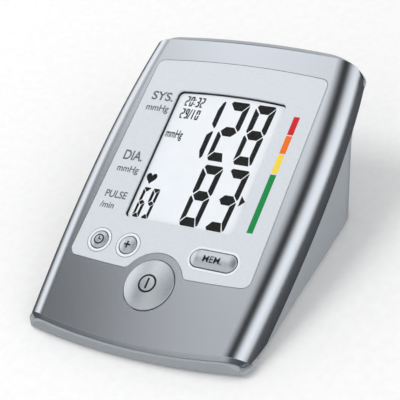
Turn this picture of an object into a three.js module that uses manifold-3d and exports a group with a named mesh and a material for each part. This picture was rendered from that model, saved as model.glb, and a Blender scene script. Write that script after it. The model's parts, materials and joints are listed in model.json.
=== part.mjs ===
// A desktop upper-arm blood pressure monitor: a wedge with a sloping face, four push buttons, a large display,
// an air pump with its valves, four AA cells and a hinged battery door in the underside.
// Lengths are in millimetres. X runs to the right, Y to the rear and Z up, with the origin on the table under
// the middle of the monitor.

import * as THREE from 'three';
import { mergeVertices } from 'three/addons/utils/BufferGeometryUtils.js';
import Module from 'manifold-3d';

const wasm = await Module();
wasm.setup();

// Driving dimensions of the sloping face. Places on it are measured from the middle line (across) and from the
// front edge of the cover (up the slope).
const faceTilt = THREE.MathUtils.degToRad(19);
const frontEdgeHeight = 8.1;
const coverWidth = 113.2;
const coverLength = 144.3;
const frontBow = 5.8;
const rearBow = 3.6;
const frontSideBow = 3.0;
const rearSideBow = 4.8;
const rearCorner = 3.4;
const rollRadius = 10;
const coverWall = 2.4;
const skirtDepth = 9.5;
const frontBevel = 1.3;
const rearBevel = 0.5;
const plateLip = 6.5;

// Clearances
const gap = 0.3;
const slideGap = 0.35;

// Rim of the lower housing, which frames the cover
const rimSide = 0.8;
const rimFront = 1.2;
const rimRear = 1.9;
const rimThickness = 1.2;
const lipRoll = 7;
const lipRollReach = 9;
const rimStep = 6;
const lipDrop = 1.8;

// Lower housing
const footHeight = 1.0;
const floorThickness = 2.2;
const housingWall = 2.2;
const baseInset = 3.4;
const baseHalfWidth = coverWidth / 2 - baseInset;
const baseDraft = 1.0;
const baseFrontCorner = 2;
const baseRearCorner = 14;
const rearWallSlope = THREE.MathUtils.degToRad(27);
const rearFlareHeight = 30;
const rearFlareReach = 15;

// Display
const panelHalfWidth = coverWidth / 2 - 13.6;
const panelFront = 32.5;
const panelRear = coverLength - 10.6;
const displayLeft = -(panelHalfWidth - 17.2);
const displayRight = panelHalfWidth - 15.3;
const displayFront = 55.1;
const displayRear = panelRear - 15.6;
const displayCorner = 2.5;
const displayBow = 1.2;
const paneThickness = 1.2;
const paneLap = 2;
const lcdThickness = 1.8;
const reflectorThickness = 0.6;
const lcdFrameWall = 1.6;
const lcdFrameDepth = 3.6;
const zebraWidth = 2;
const zebraHeight = 1.4;

// Printed panel
const panelRearBow = 2.2;
const panelFrontBow = 1.6;
const panelTaper = 0.021;
const panelThickness = 0.8;
const panelCorner = 3.5;
const startArcRadius = 14.8;

// Buttons
const buttonTravel = 1.0;
const startButtonRadius = 11.3;
const startButtonCrown = 1.8;
const startButtonPlace = [0, 27.1];
const smallButtonRadius = 3.9;
const smallButtonCrown = 0.7;
const clockButtonPlace = [-(panelHalfWidth - 11), 42.4];
const plusButtonPlace = [clockButtonPlace[0] + 14.5, 42.4];
const memoryButtonPlace = [panelHalfWidth - 18.9, 42.8];
const memoryButtonLength = 21.4;
const memoryButtonWidth = 7.8;
const memoryButtonCrown = 1.1;
const buttonProud = 0.5;
const buttonFlange = 1.2;
const buttonFlangeThickness = 1.0;
const buttonStemRadius = 1.8;

// Circuit boards
const boardThickness = 1.6;
const mainBoardHalfWidth = panelHalfWidth - 3;
const mainBoardFront = 77.8;
const mainBoardRear = 124.8;
const boardBossRadius = 2.8;
const boardBossInset = 4;
const keyBoardHalfWidth = panelHalfWidth - 5;
const keyBoardFront = 18.5;
const keyBoardRear = 46.5;
const keyBoardScrewAcross = keyBoardHalfWidth - 9;
const keyBoardScrewUp = 27;
const switchSize = 6;
const switchHeight = 1.9;
const switchPlungerRadius = 1.6;
const switchPlungerHeight = 0.7;
const boardScrewHeadRadius = 2.3;
const boardScrewHeadHeight = 1.3;
const boardScrewRadius = 1.0;
const boardScrewLength = 6;
const controllerPlace = [14, 88];
const controllerSize = [12, 1.6];
const sensorPlace = [16, 103];
const sensorSize = 9;
const sensorHeight = 4;
const buzzerPlace = [29, 113];
const buzzerSize = [11, 4];

// Battery bay: four AA cells side by side, and the door below them
const cellRadius = 7.1;
const cellBodyLength = 49;
const cellNubRadius = 2.7;
const cellNubLength = 1.4;
const cellPitch = 14.9;
const cellCount = 4;
const bayCentreX = -4;
const baySideRoom = 0.5;
const bayFrontFromBase = 50;
const bayWall = 1.3;
const bayRoofRoom = 0.3;
const bayRearRoom = 3.08;
const springLength = 4.4;
const springRadius = 3.4;
const springTipRadius = 2.2;
const springWire = 0.28;
const springTurns = 3;
const plateThickness = 0.5;
const doorThickness = 1.5;
const doorGap = 0.4;
const knuckleRadius = 1.2;
const knuckleLength = 7;
const housingKnuckleLength = 3;
const hingePinRadius = 0.6;
const hingePinLength = 12;
const hingeSpread = 38;
const hingeSink = 0.6;
const latchWidth = 12;
const latchReach = 1.6;
const doorOpening = THREE.MathUtils.degToRad(85);

// Air pump, lying on the floor to the right of the bay
const pumpRadius = 9;
const motorLength = 20;
const pumpHeadLength = 15;
const pumpFrontFromRear = 53.5;
const pumpLift = 0.4;
const saddleWidth = 12;
const saddleHeight = 5;

// Air lines
const tubeRadius = 2.0;
const tubeBore = 1.25;
const tubeSweep = [32, 8];
const tubeApproach = [14, 1];
const tubeStep = [4.4, 4.5];
const nozzleRadius = 0.95;
const nozzleLength = 4;
const manifoldSize = [12, 12, 7.2];
const manifoldX = -24;
const manifoldFromBayRear = 14;
const releaseValveRadius = 4.6;
const releaseValveLength = 12;
const leakValveRadius = 2.6;
const leakValveLength = 7;

// Sockets in the left wall
const cuffSocketFromRear = 40.5;
const cuffSocketHeight = 10.5;
const cuffSocketRadius = 5;
const cuffSocketBore = 3.4;
const cuffSocketBoreDepth = 8.5;
const cuffSocketLength = 11;
const cuffCollarRadius = 6.2;
const cuffCollarThickness = 1.2;
const jackFromRear = 23.5;
const jackHeight = 9.6;
const jackLength = 12.5;
const jackWidth = 9;
const jackBore = 3.0;
const jackBoreRoom = 4;
const jackPinRadius = 1.0;
const jackNoseRadius = 4.2;

// Feet and case screws
const footRadius = 4.5;
const footThickness = 1.9;
const footInset = 8.7;
const frontFootPlace = [baseHalfWidth - footInset, 13];
const rearFootFromRear = 11.5;
const postRadius = 4.0;
const postWeb = 2.0;
const frontPostTop = 6.3;
const rearPostTop = 24;
const caseScrewHeadRadius = 2.6;
const caseScrewHeadHeight = 1.8;
const caseScrewRadius = 1.25;
const frontCaseScrewLength = 4.6;
const rearCaseScrewLength = 10;
const coverBossRadius = 3.3;

// Fineness of the round shapes
const rollSteps = 8;
const bodySpans = 6;
const cornerSpans = 4;
const acrossSteps = 10;
const roundSteps = 24;
const smallRoundSteps = 12;

// Levels on the face, measured along its normal: the face is 0 and the inside of the monitor is negative.
const coverUnderside = -coverWall;
const partingLevel = -(skirtDepth + gap);
const rimUnderside = partingLevel - rimThickness;
const paneTop = coverUnderside - gap;
const lcdTop = paneTop - paneThickness - gap;
const reflectorTop = lcdTop - lcdThickness - gap;
const lcdFrameBottom = paneTop - lcdFrameDepth;
const zebraTop = lcdTop - lcdThickness - gap;
const mainBoardTop = zebraTop - zebraHeight - gap;
const mainBoardUnderside = mainBoardTop - boardThickness;
const flangeTop = coverUnderside - gap;
const stemEnd = flangeTop - buttonFlangeThickness - 0.6;
const plungerTop = stemEnd - buttonTravel - gap;
const keyBoardTop = plungerTop - switchPlungerHeight - switchHeight - gap;

// Levels above the table
const floorTop = footHeight + floorThickness;
const doorTop = footHeight + doorThickness;
const cellAxisHeight = doorTop + gap + cellRadius;
const bayRoofUnderside = cellAxisHeight + cellRadius + bayRoofRoom;
const bayRoofTop = bayRoofUnderside + bayWall;

// Place of the sloping face, so that the whole monitor is centred front to back
const lipFront = -rimFront * Math.cos(faceTilt) + lipDrop * Math.sin(faceTilt);
const rimBack = (coverLength + rimRear) * Math.cos(faceTilt) - rimUnderside * Math.sin(faceTilt);
const faceOriginY = -(lipFront + rimBack) / 2;
const baseFront = faceOriginY + lipFront;
const bayLength = plateThickness * 2 + springLength + cellBodyLength + cellNubLength + 2 * gap;
const baseRear = baseFront + bayFrontFromBase + bayLength + bayRearRoom;
const faceMatrix = new THREE.Matrix4().makeRotationX(faceTilt).setPosition(0, faceOriginY, frontEdgeHeight);
const faceMatrixInverse = faceMatrix.clone().invert();

// Materials: the colour, roughness and metalness of each real material
const materials = {
  silverPaint: new THREE.MeshStandardMaterial({ color: 0xa9aeb6, roughness: 0.32, metalness: 0.75 }),
  greyAbs: new THREE.MeshStandardMaterial({ color: 0x9a9fa6, roughness: 0.6, metalness: 0.0 }),
  printedPanel: new THREE.MeshStandardMaterial({ color: 0xd5dae0, roughness: 0.45, metalness: 0.0 }),
  silverButton: new THREE.MeshStandardMaterial({ color: 0xb3b8bf, roughness: 0.35, metalness: 0.6 }),
  clearPane: new THREE.MeshStandardMaterial({
    color: 0xeef2f6, roughness: 0.05, metalness: 0.0, transparent: true, opacity: 0.3,
  }),
  lcdGlass: new THREE.MeshStandardMaterial({ color: 0xe6ebf0, roughness: 0.2, metalness: 0.0 }),
  whitePlastic: new THREE.MeshStandardMaterial({ color: 0xe9ebec, roughness: 0.5, metalness: 0.0 }),
  blackPlastic: new THREE.MeshStandardMaterial({ color: 0x26282b, roughness: 0.5, metalness: 0.0 }),
  circuitBoard: new THREE.MeshStandardMaterial({ color: 0x2b6b45, roughness: 0.5, metalness: 0.0 }),
  siliconeRubber: new THREE.MeshStandardMaterial({ color: 0xd9dadb, roughness: 0.55, metalness: 0.0 }),
  darkRubber: new THREE.MeshStandardMaterial({ color: 0x3a3c3f, roughness: 0.85, metalness: 0.0 }),
  zincSteel: new THREE.MeshStandardMaterial({ color: 0xb9bcc0, roughness: 0.35, metalness: 1.0 }),
  nickelSteel: new THREE.MeshStandardMaterial({ color: 0xc9c7c0, roughness: 0.3, metalness: 1.0 }),
  cellSleeve: new THREE.MeshStandardMaterial({ color: 0x3f6f8f, roughness: 0.4, metalness: 0.1 }),
};

// A closed three.js geometry as a solid, turned inside out first if its faces point inwards
function solid(geometry) {
  const bare = geometry.clone();
  bare.deleteAttribute('normal');
  bare.deleteAttribute('uv');
  const merged = mergeVertices(bare, 1e-5);
  const places = merged.attributes.position;
  const corners = Uint32Array.from(merged.index.array);
  const a = new THREE.Vector3();
  const b = new THREE.Vector3();
  const c = new THREE.Vector3();
  let volume = 0;
  for (let i = 0; i < corners.length; i += 3) {
    a.fromBufferAttribute(places, corners[i]);
    b.fromBufferAttribute(places, corners[i + 1]);
    c.fromBufferAttribute(places, corners[i + 2]);
    volume += a.dot(b.cross(c));
  }
  if (volume < 0) {
    for (let i = 0; i < corners.length; i += 3) {
      [corners[i], corners[i + 1]] = [corners[i + 1], corners[i]];
    }
  }
  const vertProperties = Float32Array.from(places.array);
  return new wasm.Manifold(new wasm.Mesh({ numProp: 3, vertProperties, triVerts: corners }));
}

// A solid as a three.js geometry
function geometryOf(body) {
  const mesh = body.getMesh();
  const geometry = new THREE.BufferGeometry();
  geometry.setAttribute('position', new THREE.BufferAttribute(Float32Array.from(mesh.vertProperties), 3));
  geometry.setIndex(new THREE.BufferAttribute(Uint32Array.from(mesh.triVerts), 1));
  geometry.computeVertexNormals();
  return geometry;
}

// A straight prism over an outline of [x, y] points, from one height to another
function prism(points, low, high) {
  const shape = new THREE.Shape(points.map(([x, y]) => new THREE.Vector2(x, y)));
  const geometry = new THREE.ExtrudeGeometry(shape, { depth: high - low, bevelEnabled: false });
  return geometry.translate(0, 0, low);
}

function box(x0, x1, y0, y1, z0, z1) {
  const geometry = new THREE.BoxGeometry(x1 - x0, y1 - y0, z1 - z0);
  return geometry.translate((x0 + x1) / 2, (y0 + y1) / 2, (z0 + z1) / 2);
}

// An upright cylinder
function rod(x, y, radius, low, high, steps = roundSteps) {
  const geometry = new THREE.CylinderGeometry(radius, radius, high - low, steps).rotateX(Math.PI / 2);
  return geometry.translate(x, y, (low + high) / 2);
}

// A cylinder along X or along Y
function rodAlongX(x0, x1, y, z, radius, steps = roundSteps) {
  const geometry = new THREE.CylinderGeometry(radius, radius, x1 - x0, steps).rotateZ(Math.PI / 2);
  return geometry.translate((x0 + x1) / 2, y, z);
}

function rodAlongY(x, y0, y1, z, radius, steps = roundSteps) {
  const geometry = new THREE.CylinderGeometry(radius, radius, y1 - y0, steps);
  return geometry.translate(x, (y0 + y1) / 2, z);
}

// A turned shape about the Z axis, from a profile of [radius, height] points that starts and ends on the axis
function turned(profile, steps = roundSteps) {
  const points = profile.map(([radius, height]) => new THREE.Vector2(radius, height));
  return new THREE.LatheGeometry(points, steps).rotateX(Math.PI / 2);
}

// Outline with straight sides and round corners
function roundedOutline(x0, x1, y0, y1, radius, steps = 5) {
  const points = [];
  const corners = [[x1 - radius, y0 + radius, -90], [x1 - radius, y1 - radius, 0],
    [x0 + radius, y1 - radius, 90], [x0 + radius, y0 + radius, 180]];
  for (const [cx, cy, start] of corners) {
    for (let i = 0; i <= steps; i += 1) {
      const turn = THREE.MathUtils.degToRad(start + (90 * i) / steps);
      points.push([cx + radius * Math.cos(turn), cy + radius * Math.sin(turn)]);
    }
  }
  return points;
}

// Outline with round corners whose rear edge is an arc that bulges to the rear
function bowedOutline(x0, x1, y0, y1, radius, bow, steps = 5, frontSteps = 1) {
  const middle = (x0 + x1) / 2;
  const half = (x1 - x0) / 2;
  const rearAt = (x) => y1 - bow * ((x - middle) / half) ** 2;
  const points = [];
  const quarter = (cx, cy, start) => {
    for (let i = 0; i <= steps; i += 1) {
      const turn = THREE.MathUtils.degToRad(start + (90 * i) / steps);
      points.push([cx + radius * Math.cos(turn), cy + radius * Math.sin(turn)]);
    }
  };
  quarter(x1 - radius, y0 + radius, -90);
  quarter(x1 - radius, rearAt(x1 - radius) - radius, 0);
  for (let i = 1; i < acrossSteps; i += 1) {
    const x = x1 - radius - ((x1 - x0 - 2 * radius) * i) / acrossSteps;
    points.push([x, rearAt(x)]);
  }
  quarter(x0 + radius, rearAt(x0 + radius) - radius, 90);
  quarter(x0 + radius, y0 + radius, 180);
  for (let i = 1; i < frontSteps; i += 1) points.push([x0 + radius + ((x1 - x0 - 2 * radius) * i) / frontSteps, y0]);
  return points;
}

// A closed skin over rings of equal length. Each ring is a top chain and a bottom chain of matching points.
function skinOverChains(rings) {
  const count = rings[0].top.length;
  const loop = 2 * count;
  const places = [];
  const faces = [];
  for (const ring of rings) {
    for (const point of ring.top) places.push(...point);
    for (const point of [...ring.bottom].reverse()) places.push(...point);
  }
  const quad = (a, b, c, d) => faces.push(a, b, c, a, c, d);
  for (let r = 0; r + 1 < rings.length; r += 1) {
    for (let i = 0; i < loop; i += 1) {
      const next = (i + 1) % loop;
      quad(r * loop + i, r * loop + next, (r + 1) * loop + next, (r + 1) * loop + i);
    }
  }
  const last = (rings.length - 1) * loop;
  for (let i = 0; i + 1 < count; i += 1) {
    quad(i + 1, i, loop - 1 - i, loop - 2 - i);
    quad(last + i, last + i + 1, last + loop - 2 - i, last + loop - 1 - i);
  }
  const geometry = new THREE.BufferGeometry();
  geometry.setAttribute('position', new THREE.Float32BufferAttribute(places, 3));
  geometry.setIndex(faces);
  return geometry;
}

// The form of the sloping top in the face's frame: flat across the middle, rolled at both long edges, with bowed
// ends and bowed sides. An end may be drawn in by an inset, which makes its bevel.
function slopeForm({
  grow = 0, front, rear, top = 0, bottom, frontInset = 0, rearInset = 0, roll, sideInset = 1, corner = 0,
  frontRoll = roll,
}) {
  const bodyFront = front + frontInset;
  const bodyRear = rear - rearInset;
  const cornerFront = bodyRear - corner;
  const stations = frontInset > 0 ? [[front, frontInset, 0]] : [];
  for (let i = 0; i <= bodySpans; i += 1) {
    stations.push([bodyFront + ((cornerFront - bodyFront) * i) / bodySpans, 0, 0]);
  }
  for (let i = 1; i <= cornerSpans && corner > 0; i += 1) {
    const turn = (i / cornerSpans) * THREE.MathUtils.degToRad(72);
    const reach = Math.sin(turn) / Math.sin(THREE.MathUtils.degToRad(72));
    stations.push([cornerFront + corner * reach, 0, corner * (1 - Math.cos(turn))]);
  }
  const lastIn = stations[stations.length - 1][2];
  if (rearInset > 0) stations.push([rear, rearInset, lastIn]);
  const rings = stations.map(([station, inset, cornerIn]) => {
    const rollShare = THREE.MathUtils.clamp(station / lipRollReach, 0, 1);
    const rolled = frontRoll + (roll - frontRoll) * rollShare;
    const share = station / coverLength;
    const sideIn = (frontSideBow * (1 - share) + rearSideBow * share) * (2 * share - 1) ** 2;
    const half = coverWidth / 2 + grow - sideIn - inset * sideInset - cornerIn;
    const level = top - inset;
    const bowAt = (u) => (u / (coverWidth / 2)) ** 2 * (frontBow * (1 - share) - rearBow * share);
    const across = [];
    for (let i = 0; i <= rollSteps; i += 1) {
      const turn = Math.PI - ((Math.PI / 2) * i) / rollSteps;
      across.push([-half + rolled + rolled * Math.cos(turn), level - rolled + rolled * Math.sin(turn)]);
    }
    for (let i = 1; i < acrossSteps; i += 1) {
      across.push([-(half - rolled) + (2 * (half - rolled) * i) / acrossSteps, level]);
    }
    for (let i = 0; i <= rollSteps; i += 1) {
      const turn = Math.PI / 2 - ((Math.PI / 2) * i) / rollSteps;
      across.push([half - rolled + rolled * Math.cos(turn), level - rolled + rolled * Math.sin(turn)]);
    }
    return {
      top: across.map(([u, n]) => [u, station + bowAt(u), n]),
      bottom: across.map(([u]) => [u, station + bowAt(u), bottom]),
    };
  });
  return skinOverChains(rings);
}

// The plan of the lower body at one height, grown or shrunk all round by an offset
function basePlan(half, front, rear, offset) {
  const rearRadius = Math.max(baseRearCorner + offset, 1);
  const frontRadius = Math.max(baseFrontCorner + offset, 1);
  const halfWidth = half + offset;
  const frontAt = (x) => front - offset + frontBow * (x / (coverWidth / 2)) ** 2;
  const rearAt = (x) => rear + offset - rearBow * (x / (coverWidth / 2)) ** 2;
  const points = [];
  const straight = halfWidth - frontRadius;
  for (let i = 0; i < acrossSteps; i += 1) {
    const x = -straight + (2 * straight * i) / acrossSteps;
    points.push([x, frontAt(x)]);
  }
  const cornerSteps = 5;
  const corner = (cx, cy, radius, start) => {
    for (let i = 0; i <= cornerSteps; i += 1) {
      const turn = THREE.MathUtils.degToRad(start + (90 * i) / cornerSteps);
      points.push([cx + radius * Math.cos(turn), cy + radius * Math.sin(turn)]);
    }
  };
  corner(straight, frontAt(straight) + frontRadius, frontRadius, -90);
  const rearStraight = halfWidth - rearRadius;
  corner(rearStraight, rearAt(rearStraight) - rearRadius, rearRadius, 0);
  for (let i = 1; i < acrossSteps; i += 1) {
    const x = rearStraight - (2 * rearStraight * i) / acrossSteps;
    points.push([x, rearAt(x)]);
  }
  corner(-rearStraight, rearAt(rearStraight) - rearRadius, rearRadius, 90);
  corner(-straight, frontAt(straight) + frontRadius, frontRadius, 180);
  points.pop();
  return points;
}

// A closed skin over level outlines of equal length
function skinOverOutlines(levels) {
  const count = levels[0].points.length;
  const places = [];
  const faces = [];
  for (const level of levels) {
    for (const [x, y] of level.points) places.push(x, y, level.height);
  }
  for (let r = 0; r + 1 < levels.length; r += 1) {
    for (let i = 0; i < count; i += 1) {
      const next = (i + 1) % count;
      const low = r * count;
      const high = low + count;
      faces.push(low + i, low + next, high + next, low + i, high + next, high + i);
    }
  }
  const flat = (level) => level.points.map(([x, y]) => new THREE.Vector2(x, y));
  const last = (levels.length - 1) * count;
  for (const [a, b, c] of THREE.ShapeUtils.triangulateShape(flat(levels[0]), [])) faces.push(c, b, a);
  for (const [a, b, c] of THREE.ShapeUtils.triangulateShape(flat(levels[levels.length - 1]), [])) {
    faces.push(last + a, last + b, last + c);
  }
  const geometry = new THREE.BufferGeometry();
  geometry.setAttribute('position', new THREE.Float32BufferAttribute(places, 3));
  geometry.setIndex(faces);
  return geometry;
}

// How far the rear wall of the lower body leans back at a height: a straight slope that flares out at the top
function rearLean(height) {
  const flare = Math.max(0, height - rearFlareHeight);
  const straight = Math.tan(rearWallSlope) * (height - footHeight);
  return straight + (rearFlareReach * flare ** 2) / rearFlareHeight ** 2 * 4;
}

function lowerBody(offset, bottom) {
  const top = 64;
  const heights = [bottom, 16, rearFlareHeight, 35, 40, top];
  const levels = heights.map((height) => {
    const half = baseHalfWidth + (baseDraft * (height - footHeight)) / rearFlareHeight;
    return { height, points: basePlan(half, baseFront, baseRear + rearLean(height), offset) };
  });
  return skinOverOutlines(levels);
}

// The outer form of the rim, down to a level below the face. Its bevel at the front runs on past the lip, whose
// front wall is upright and is cut by lipFrontCut.
function rimForm(bottom) {
  const runOn = 6;
  return slopeForm({
    grow: rimSide, front: -rimFront - runOn, rear: coverLength + rimRear, bottom,
    frontInset: lipDrop + runOn, rearInset: rearBevel, roll: rollRadius + rimSide, sideInset: 0.3,
    corner: rearCorner + rimRear, frontRoll: lipRoll,
  });
}

function lipFrontCut(offset) {
  const points = [[-80, 120]];
  for (let i = -acrossSteps; i <= acrossSteps; i += 1) {
    const x = (i / acrossSteps) * (coverWidth / 2 + 6);
    points.push([x, baseFront + offset + frontBow * Math.cos(faceTilt) * (x / (coverWidth / 2)) ** 2]);
  }
  points.push([80, 120]);
  return solid(prism(points, -60, 120));
}

function coverForm(grow, top, bottom, frontInset, rearInset) {
  return slopeForm({
    grow, front: -grow, rear: coverLength + grow, top, bottom, frontInset, rearInset, roll: rollRadius + grow,
    corner: rearCorner + grow,
  });
}

const root = new THREE.Group();
const faceGroup = new THREE.Group();
faceGroup.rotation.x = faceTilt;
faceGroup.position.set(0, faceOriginY, frontEdgeHeight);
root.add(faceGroup);

function addPart(name, body, material, group = root) {
  const mesh = new THREE.Mesh(geometryOf(body), material);
  mesh.name = name;
  group.add(mesh);
  return mesh;
}

const mirrored = (places) => places.flatMap(([x, y]) => [[-x, y], [x, y]]);
const intoFace = (geometry) => geometry.applyMatrix4(faceMatrixInverse);
const intoWorld = (geometry) => geometry.applyMatrix4(faceMatrix);

// Feet, posts and bosses share these places under the case
const frontPosts = mirrored([[frontFootPlace[0], baseFront + frontFootPlace[1]]]);
const rearPosts = mirrored([[frontFootPlace[0], baseRear - rearFootFromRear]]);
const posts = [
  ...frontPosts.map(([x, y]) => ({ x, y, top: frontPostTop, screwLength: frontCaseScrewLength })),
  ...rearPosts.map(([x, y]) => ({ x, y, top: rearPostTop, screwLength: rearCaseScrewLength })),
];

// Battery bay sizes
const bayHalfWidth = (cellPitch * (cellCount - 1)) / 2 + cellRadius + baySideRoom;
const bayLeft = bayCentreX - bayHalfWidth;
const bayRight = bayCentreX + bayHalfWidth;
const bayFront = baseFront + bayFrontFromBase;
const bayRear = bayFront + bayLength;
const cellPlaces = Array.from({ length: cellCount }, (_, i) => ({
  x: bayCentreX + (i - (cellCount - 1) / 2) * cellPitch,
  nubToRear: i % 2 === 0,
}));
const pumpRoomLeft = bayRight + bayWall;
const pumpRoomRight = baseHalfWidth - housingWall;
const pumpCentreX = (pumpRoomLeft + pumpRoomRight) / 2;
const hingeY = bayFront + doorGap - knuckleRadius - gap;
const hingeZ = footHeight + hingeSink;
const hingePlaces = [bayCentreX - hingeSpread / 2, bayCentreX + hingeSpread / 2];

const mainBoardBosses = mirrored([
  [mainBoardHalfWidth - boardBossInset, mainBoardFront + boardBossInset],
  [mainBoardHalfWidth - boardBossInset, mainBoardRear - boardBossInset],
]);
const keyBoardBosses = mirrored([[keyBoardScrewAcross, keyBoardScrewUp]]);
const memoryOutline = (grow) => roundedOutline(
  memoryButtonPlace[0] - memoryButtonLength / 2 - grow,
  memoryButtonPlace[0] + memoryButtonLength / 2 + grow,
  memoryButtonPlace[1] - memoryButtonWidth / 2 - grow,
  memoryButtonPlace[1] + memoryButtonWidth / 2 + grow,
  memoryButtonWidth / 2 + grow - 0.05,
);
const displayOutline = (grow) => bowedOutline(
  displayLeft - grow, displayRight + grow, displayFront - grow, displayRear + grow,
  Math.max(displayCorner + grow, 0.6), displayBow,
);
// The panel is a little narrower at the rear, and its front edge bows like the case's
const panelOutline = (grow) => bowedOutline(
  -panelHalfWidth - grow, panelHalfWidth + grow, panelFront - grow, panelRear + grow,
  panelCorner + grow, panelRearBow, 5, acrossSteps,
).map(([x, y]) => {
  const share = THREE.MathUtils.clamp((y - panelFront) / (panelRear - panelFront), 0, 1);
  const bowed = y + panelFrontBow * (1 - share) * (x / panelHalfWidth) ** 2;
  return [x * (1 + panelTaper * (1 - 2 * share)), bowed];
});

// The panel's outline steps back round the start button in an arc
function panelPlate(grow, low, high) {
  const [x, y] = startButtonPlace;
  return solid(prism(panelOutline(grow), low, high))
    .subtract(solid(rod(x, y, startArcRadius - grow, low - 1, high + 1, 48)));
}

function keyHoles(low, high) {
  let holes = solid(prism(memoryOutline(slideGap), low, high));
  for (const [x, y] of [clockButtonPlace, plusButtonPlace]) {
    holes = holes.add(solid(rod(x, y, smallButtonRadius + slideGap, low, high)));
  }
  return holes;
}

// Silver top cover
function topCover() {
  let body = solid(coverForm(0, 0, -skirtDepth, frontBevel, rearBevel));
  const innerForm = slopeForm({
    grow: -coverWall, front: -20, rear: coverLength - coverWall, top: -coverWall, bottom: -skirtDepth - 5,
    roll: rollRadius - coverWall, corner: rearCorner - coverWall,
  });
  body = body.subtract(solid(innerForm));
  for (const [x, y] of [...mainBoardBosses]) {
    body = body.add(solid(rod(x, y, boardBossRadius, mainBoardTop + gap, -coverWall + 0.4, smallRoundSteps)));
  }
  for (const [x, y] of [...keyBoardBosses]) {
    body = body.add(solid(rod(x, y, boardBossRadius, keyBoardTop + gap, -coverWall + 0.4, smallRoundSteps)));
  }
  const ceiling = solid(slopeForm({
    grow: -coverWall / 2, front: 2, rear: coverLength - 2, top: -coverWall / 2, bottom: -60,
    roll: rollRadius - coverWall / 2,
  }));
  for (const post of posts) {
    const boss = solid(intoFace(rod(post.x, post.y, coverBossRadius, post.top + gap, 70, smallRoundSteps)));
    body = body.add(boss.intersect(ceiling));
  }
  body = body.subtract(panelPlate(gap, -panelThickness - gap, 1));
  body = body.subtract(solid(prism(displayOutline(0), -20, 1)));
  body = body.subtract(keyHoles(-20, 1));
  const [startX, startY] = startButtonPlace;
  body = body.subtract(solid(rod(startX, startY, startButtonRadius + slideGap, -20, 1, 48)));
  const screwHole = boardScrewRadius + 0.25;
  for (const [x, y] of mainBoardBosses) {
    body = body.subtract(solid(rod(x, y, screwHole, mainBoardTop - 1, -coverWall - 0.6, smallRoundSteps)));
  }
  for (const [x, y] of keyBoardBosses) {
    body = body.subtract(solid(rod(x, y, screwHole, keyBoardTop - 1, -coverWall - 0.6, smallRoundSteps)));
  }
  for (const post of posts) {
    const depth = post.top + post.screwLength - postWeb;
    const hole = rod(post.x, post.y, caseScrewRadius + 0.25, post.top - 2, depth, smallRoundSteps);
    body = body.subtract(solid(intoFace(hole)));
  }
  const floorCut = intoFace(box(-80, 80, baseFront - 10, baseRear, -20, floorTop + gap));
  return body.subtract(solid(floorCut));
}

// Grey lower housing with lip, rim, posts, battery bay and sockets' holes
function lowerHousing() {
  const deep = solid(intoWorld(rimForm(-120))).intersect(lipFrontCut(0));
  const band = solid(intoWorld(box(-80, 80, -20, coverLength + 20, rimUnderside, 20)));
  const beforeRim = solid(intoWorld(box(-80, 80, -20, coverLength + rimRear - rimStep, -120, 20)));
  const wedge = solid(lowerBody(0, footHeight)).intersect(beforeRim);
  let body = wedge.add(band).intersect(deep);
  body = body.intersect(solid(box(-80, 80, -120, 120, footHeight, 120)));
  const innerDeep = solid(intoWorld(slopeForm({
    grow: -housingWall, front: -20, rear: coverLength - housingWall, top: 5, bottom: -120,
    roll: rollRadius - housingWall,
  })));
  body = body.subtract(solid(lowerBody(-housingWall, floorTop)).intersect(innerDeep));
  const coverSeat = solid(intoWorld(slopeForm({
    grow: gap, front: -gap, rear: coverLength + gap, top: 12, bottom: partingLevel, roll: rollRadius + gap,
    corner: rearCorner + gap,
  })));
  const inside = coverWall + gap;
  const underFrontPlate = solid(intoWorld(slopeForm({
    grow: -inside, front: -20, rear: plateLip, top: -inside, bottom: -60, roll: rollRadius - inside,
  })));
  const aboveFloor = solid(box(-80, 80, -120, 120, floorTop, 120));
  body = body.subtract(coverSeat.subtract(underFrontPlate).intersect(aboveFloor));

  const bayOuter = box(bayLeft - bayWall, bayRight + bayWall, bayFront - bayWall, bayRear + bayWall,
    footHeight + 0.5, bayRoofTop);
  const bayInner = box(bayLeft, bayRight, bayFront, bayRear, -5, bayRoofUnderside);
  body = body.add(solid(bayOuter)).subtract(solid(bayInner));
  for (const x of hingePlaces) {
    const half = knuckleLength / 2 + gap;
    const outer = half + housingKnuckleLength;
    const roof = box(x - half - bayWall, x + half + bayWall, hingeY - knuckleRadius - gap - bayWall, bayFront,
      floorTop - 0.5, floorTop + bayWall);
    const knuckle = rodAlongX(x - outer, x + outer, hingeY, hingeZ, knuckleRadius, smallRoundSteps);
    const pocket = box(x - half, x + half, hingeY - knuckleRadius - gap, bayFront + 1, -5,
      hingeZ + knuckleRadius + gap);
    const pinHole = rodAlongX(x - outer - 1, x + outer + 1, hingeY, hingeZ, hingePinRadius + 0.15, smallRoundSteps);
    body = body.add(solid(roof)).add(solid(knuckle)).subtract(solid(pocket)).subtract(solid(pinHole));
  }
  const latchHalf = latchWidth / 2 + doorGap;
  body = body.subtract(solid(box(bayCentreX - latchHalf, bayCentreX + latchHalf, bayRear - 1,
    bayRear + latchReach + doorGap, -5, doorTop + doorGap)));
  for (const post of posts) {
    body = body.add(solid(rod(post.x, post.y, postRadius, floorTop - 0.5, post.top, roundSteps)));
  }
  for (const post of posts) {
    body = body.subtract(solid(rod(post.x, post.y, caseScrewHeadRadius + gap, -1, post.top - postWeb)));
    body = body.subtract(solid(rod(post.x, post.y, caseScrewRadius + gap, -1, post.top + 1, smallRoundSteps)));
    body = body.subtract(solid(rod(post.x, post.y, footRadius + gap, -1, footThickness)));
  }
  body = body.subtract(solid(rodAlongX(leftWall - 5, leftWall + 6, socketY, cuffSocketHeight, cuffSocketRadius + gap)));
  body = body.subtract(solid(rodAlongX(leftWall - 5, leftWall + 6, jackY, jackHeight, jackNoseRadius + gap)));
  return body;
}

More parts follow.
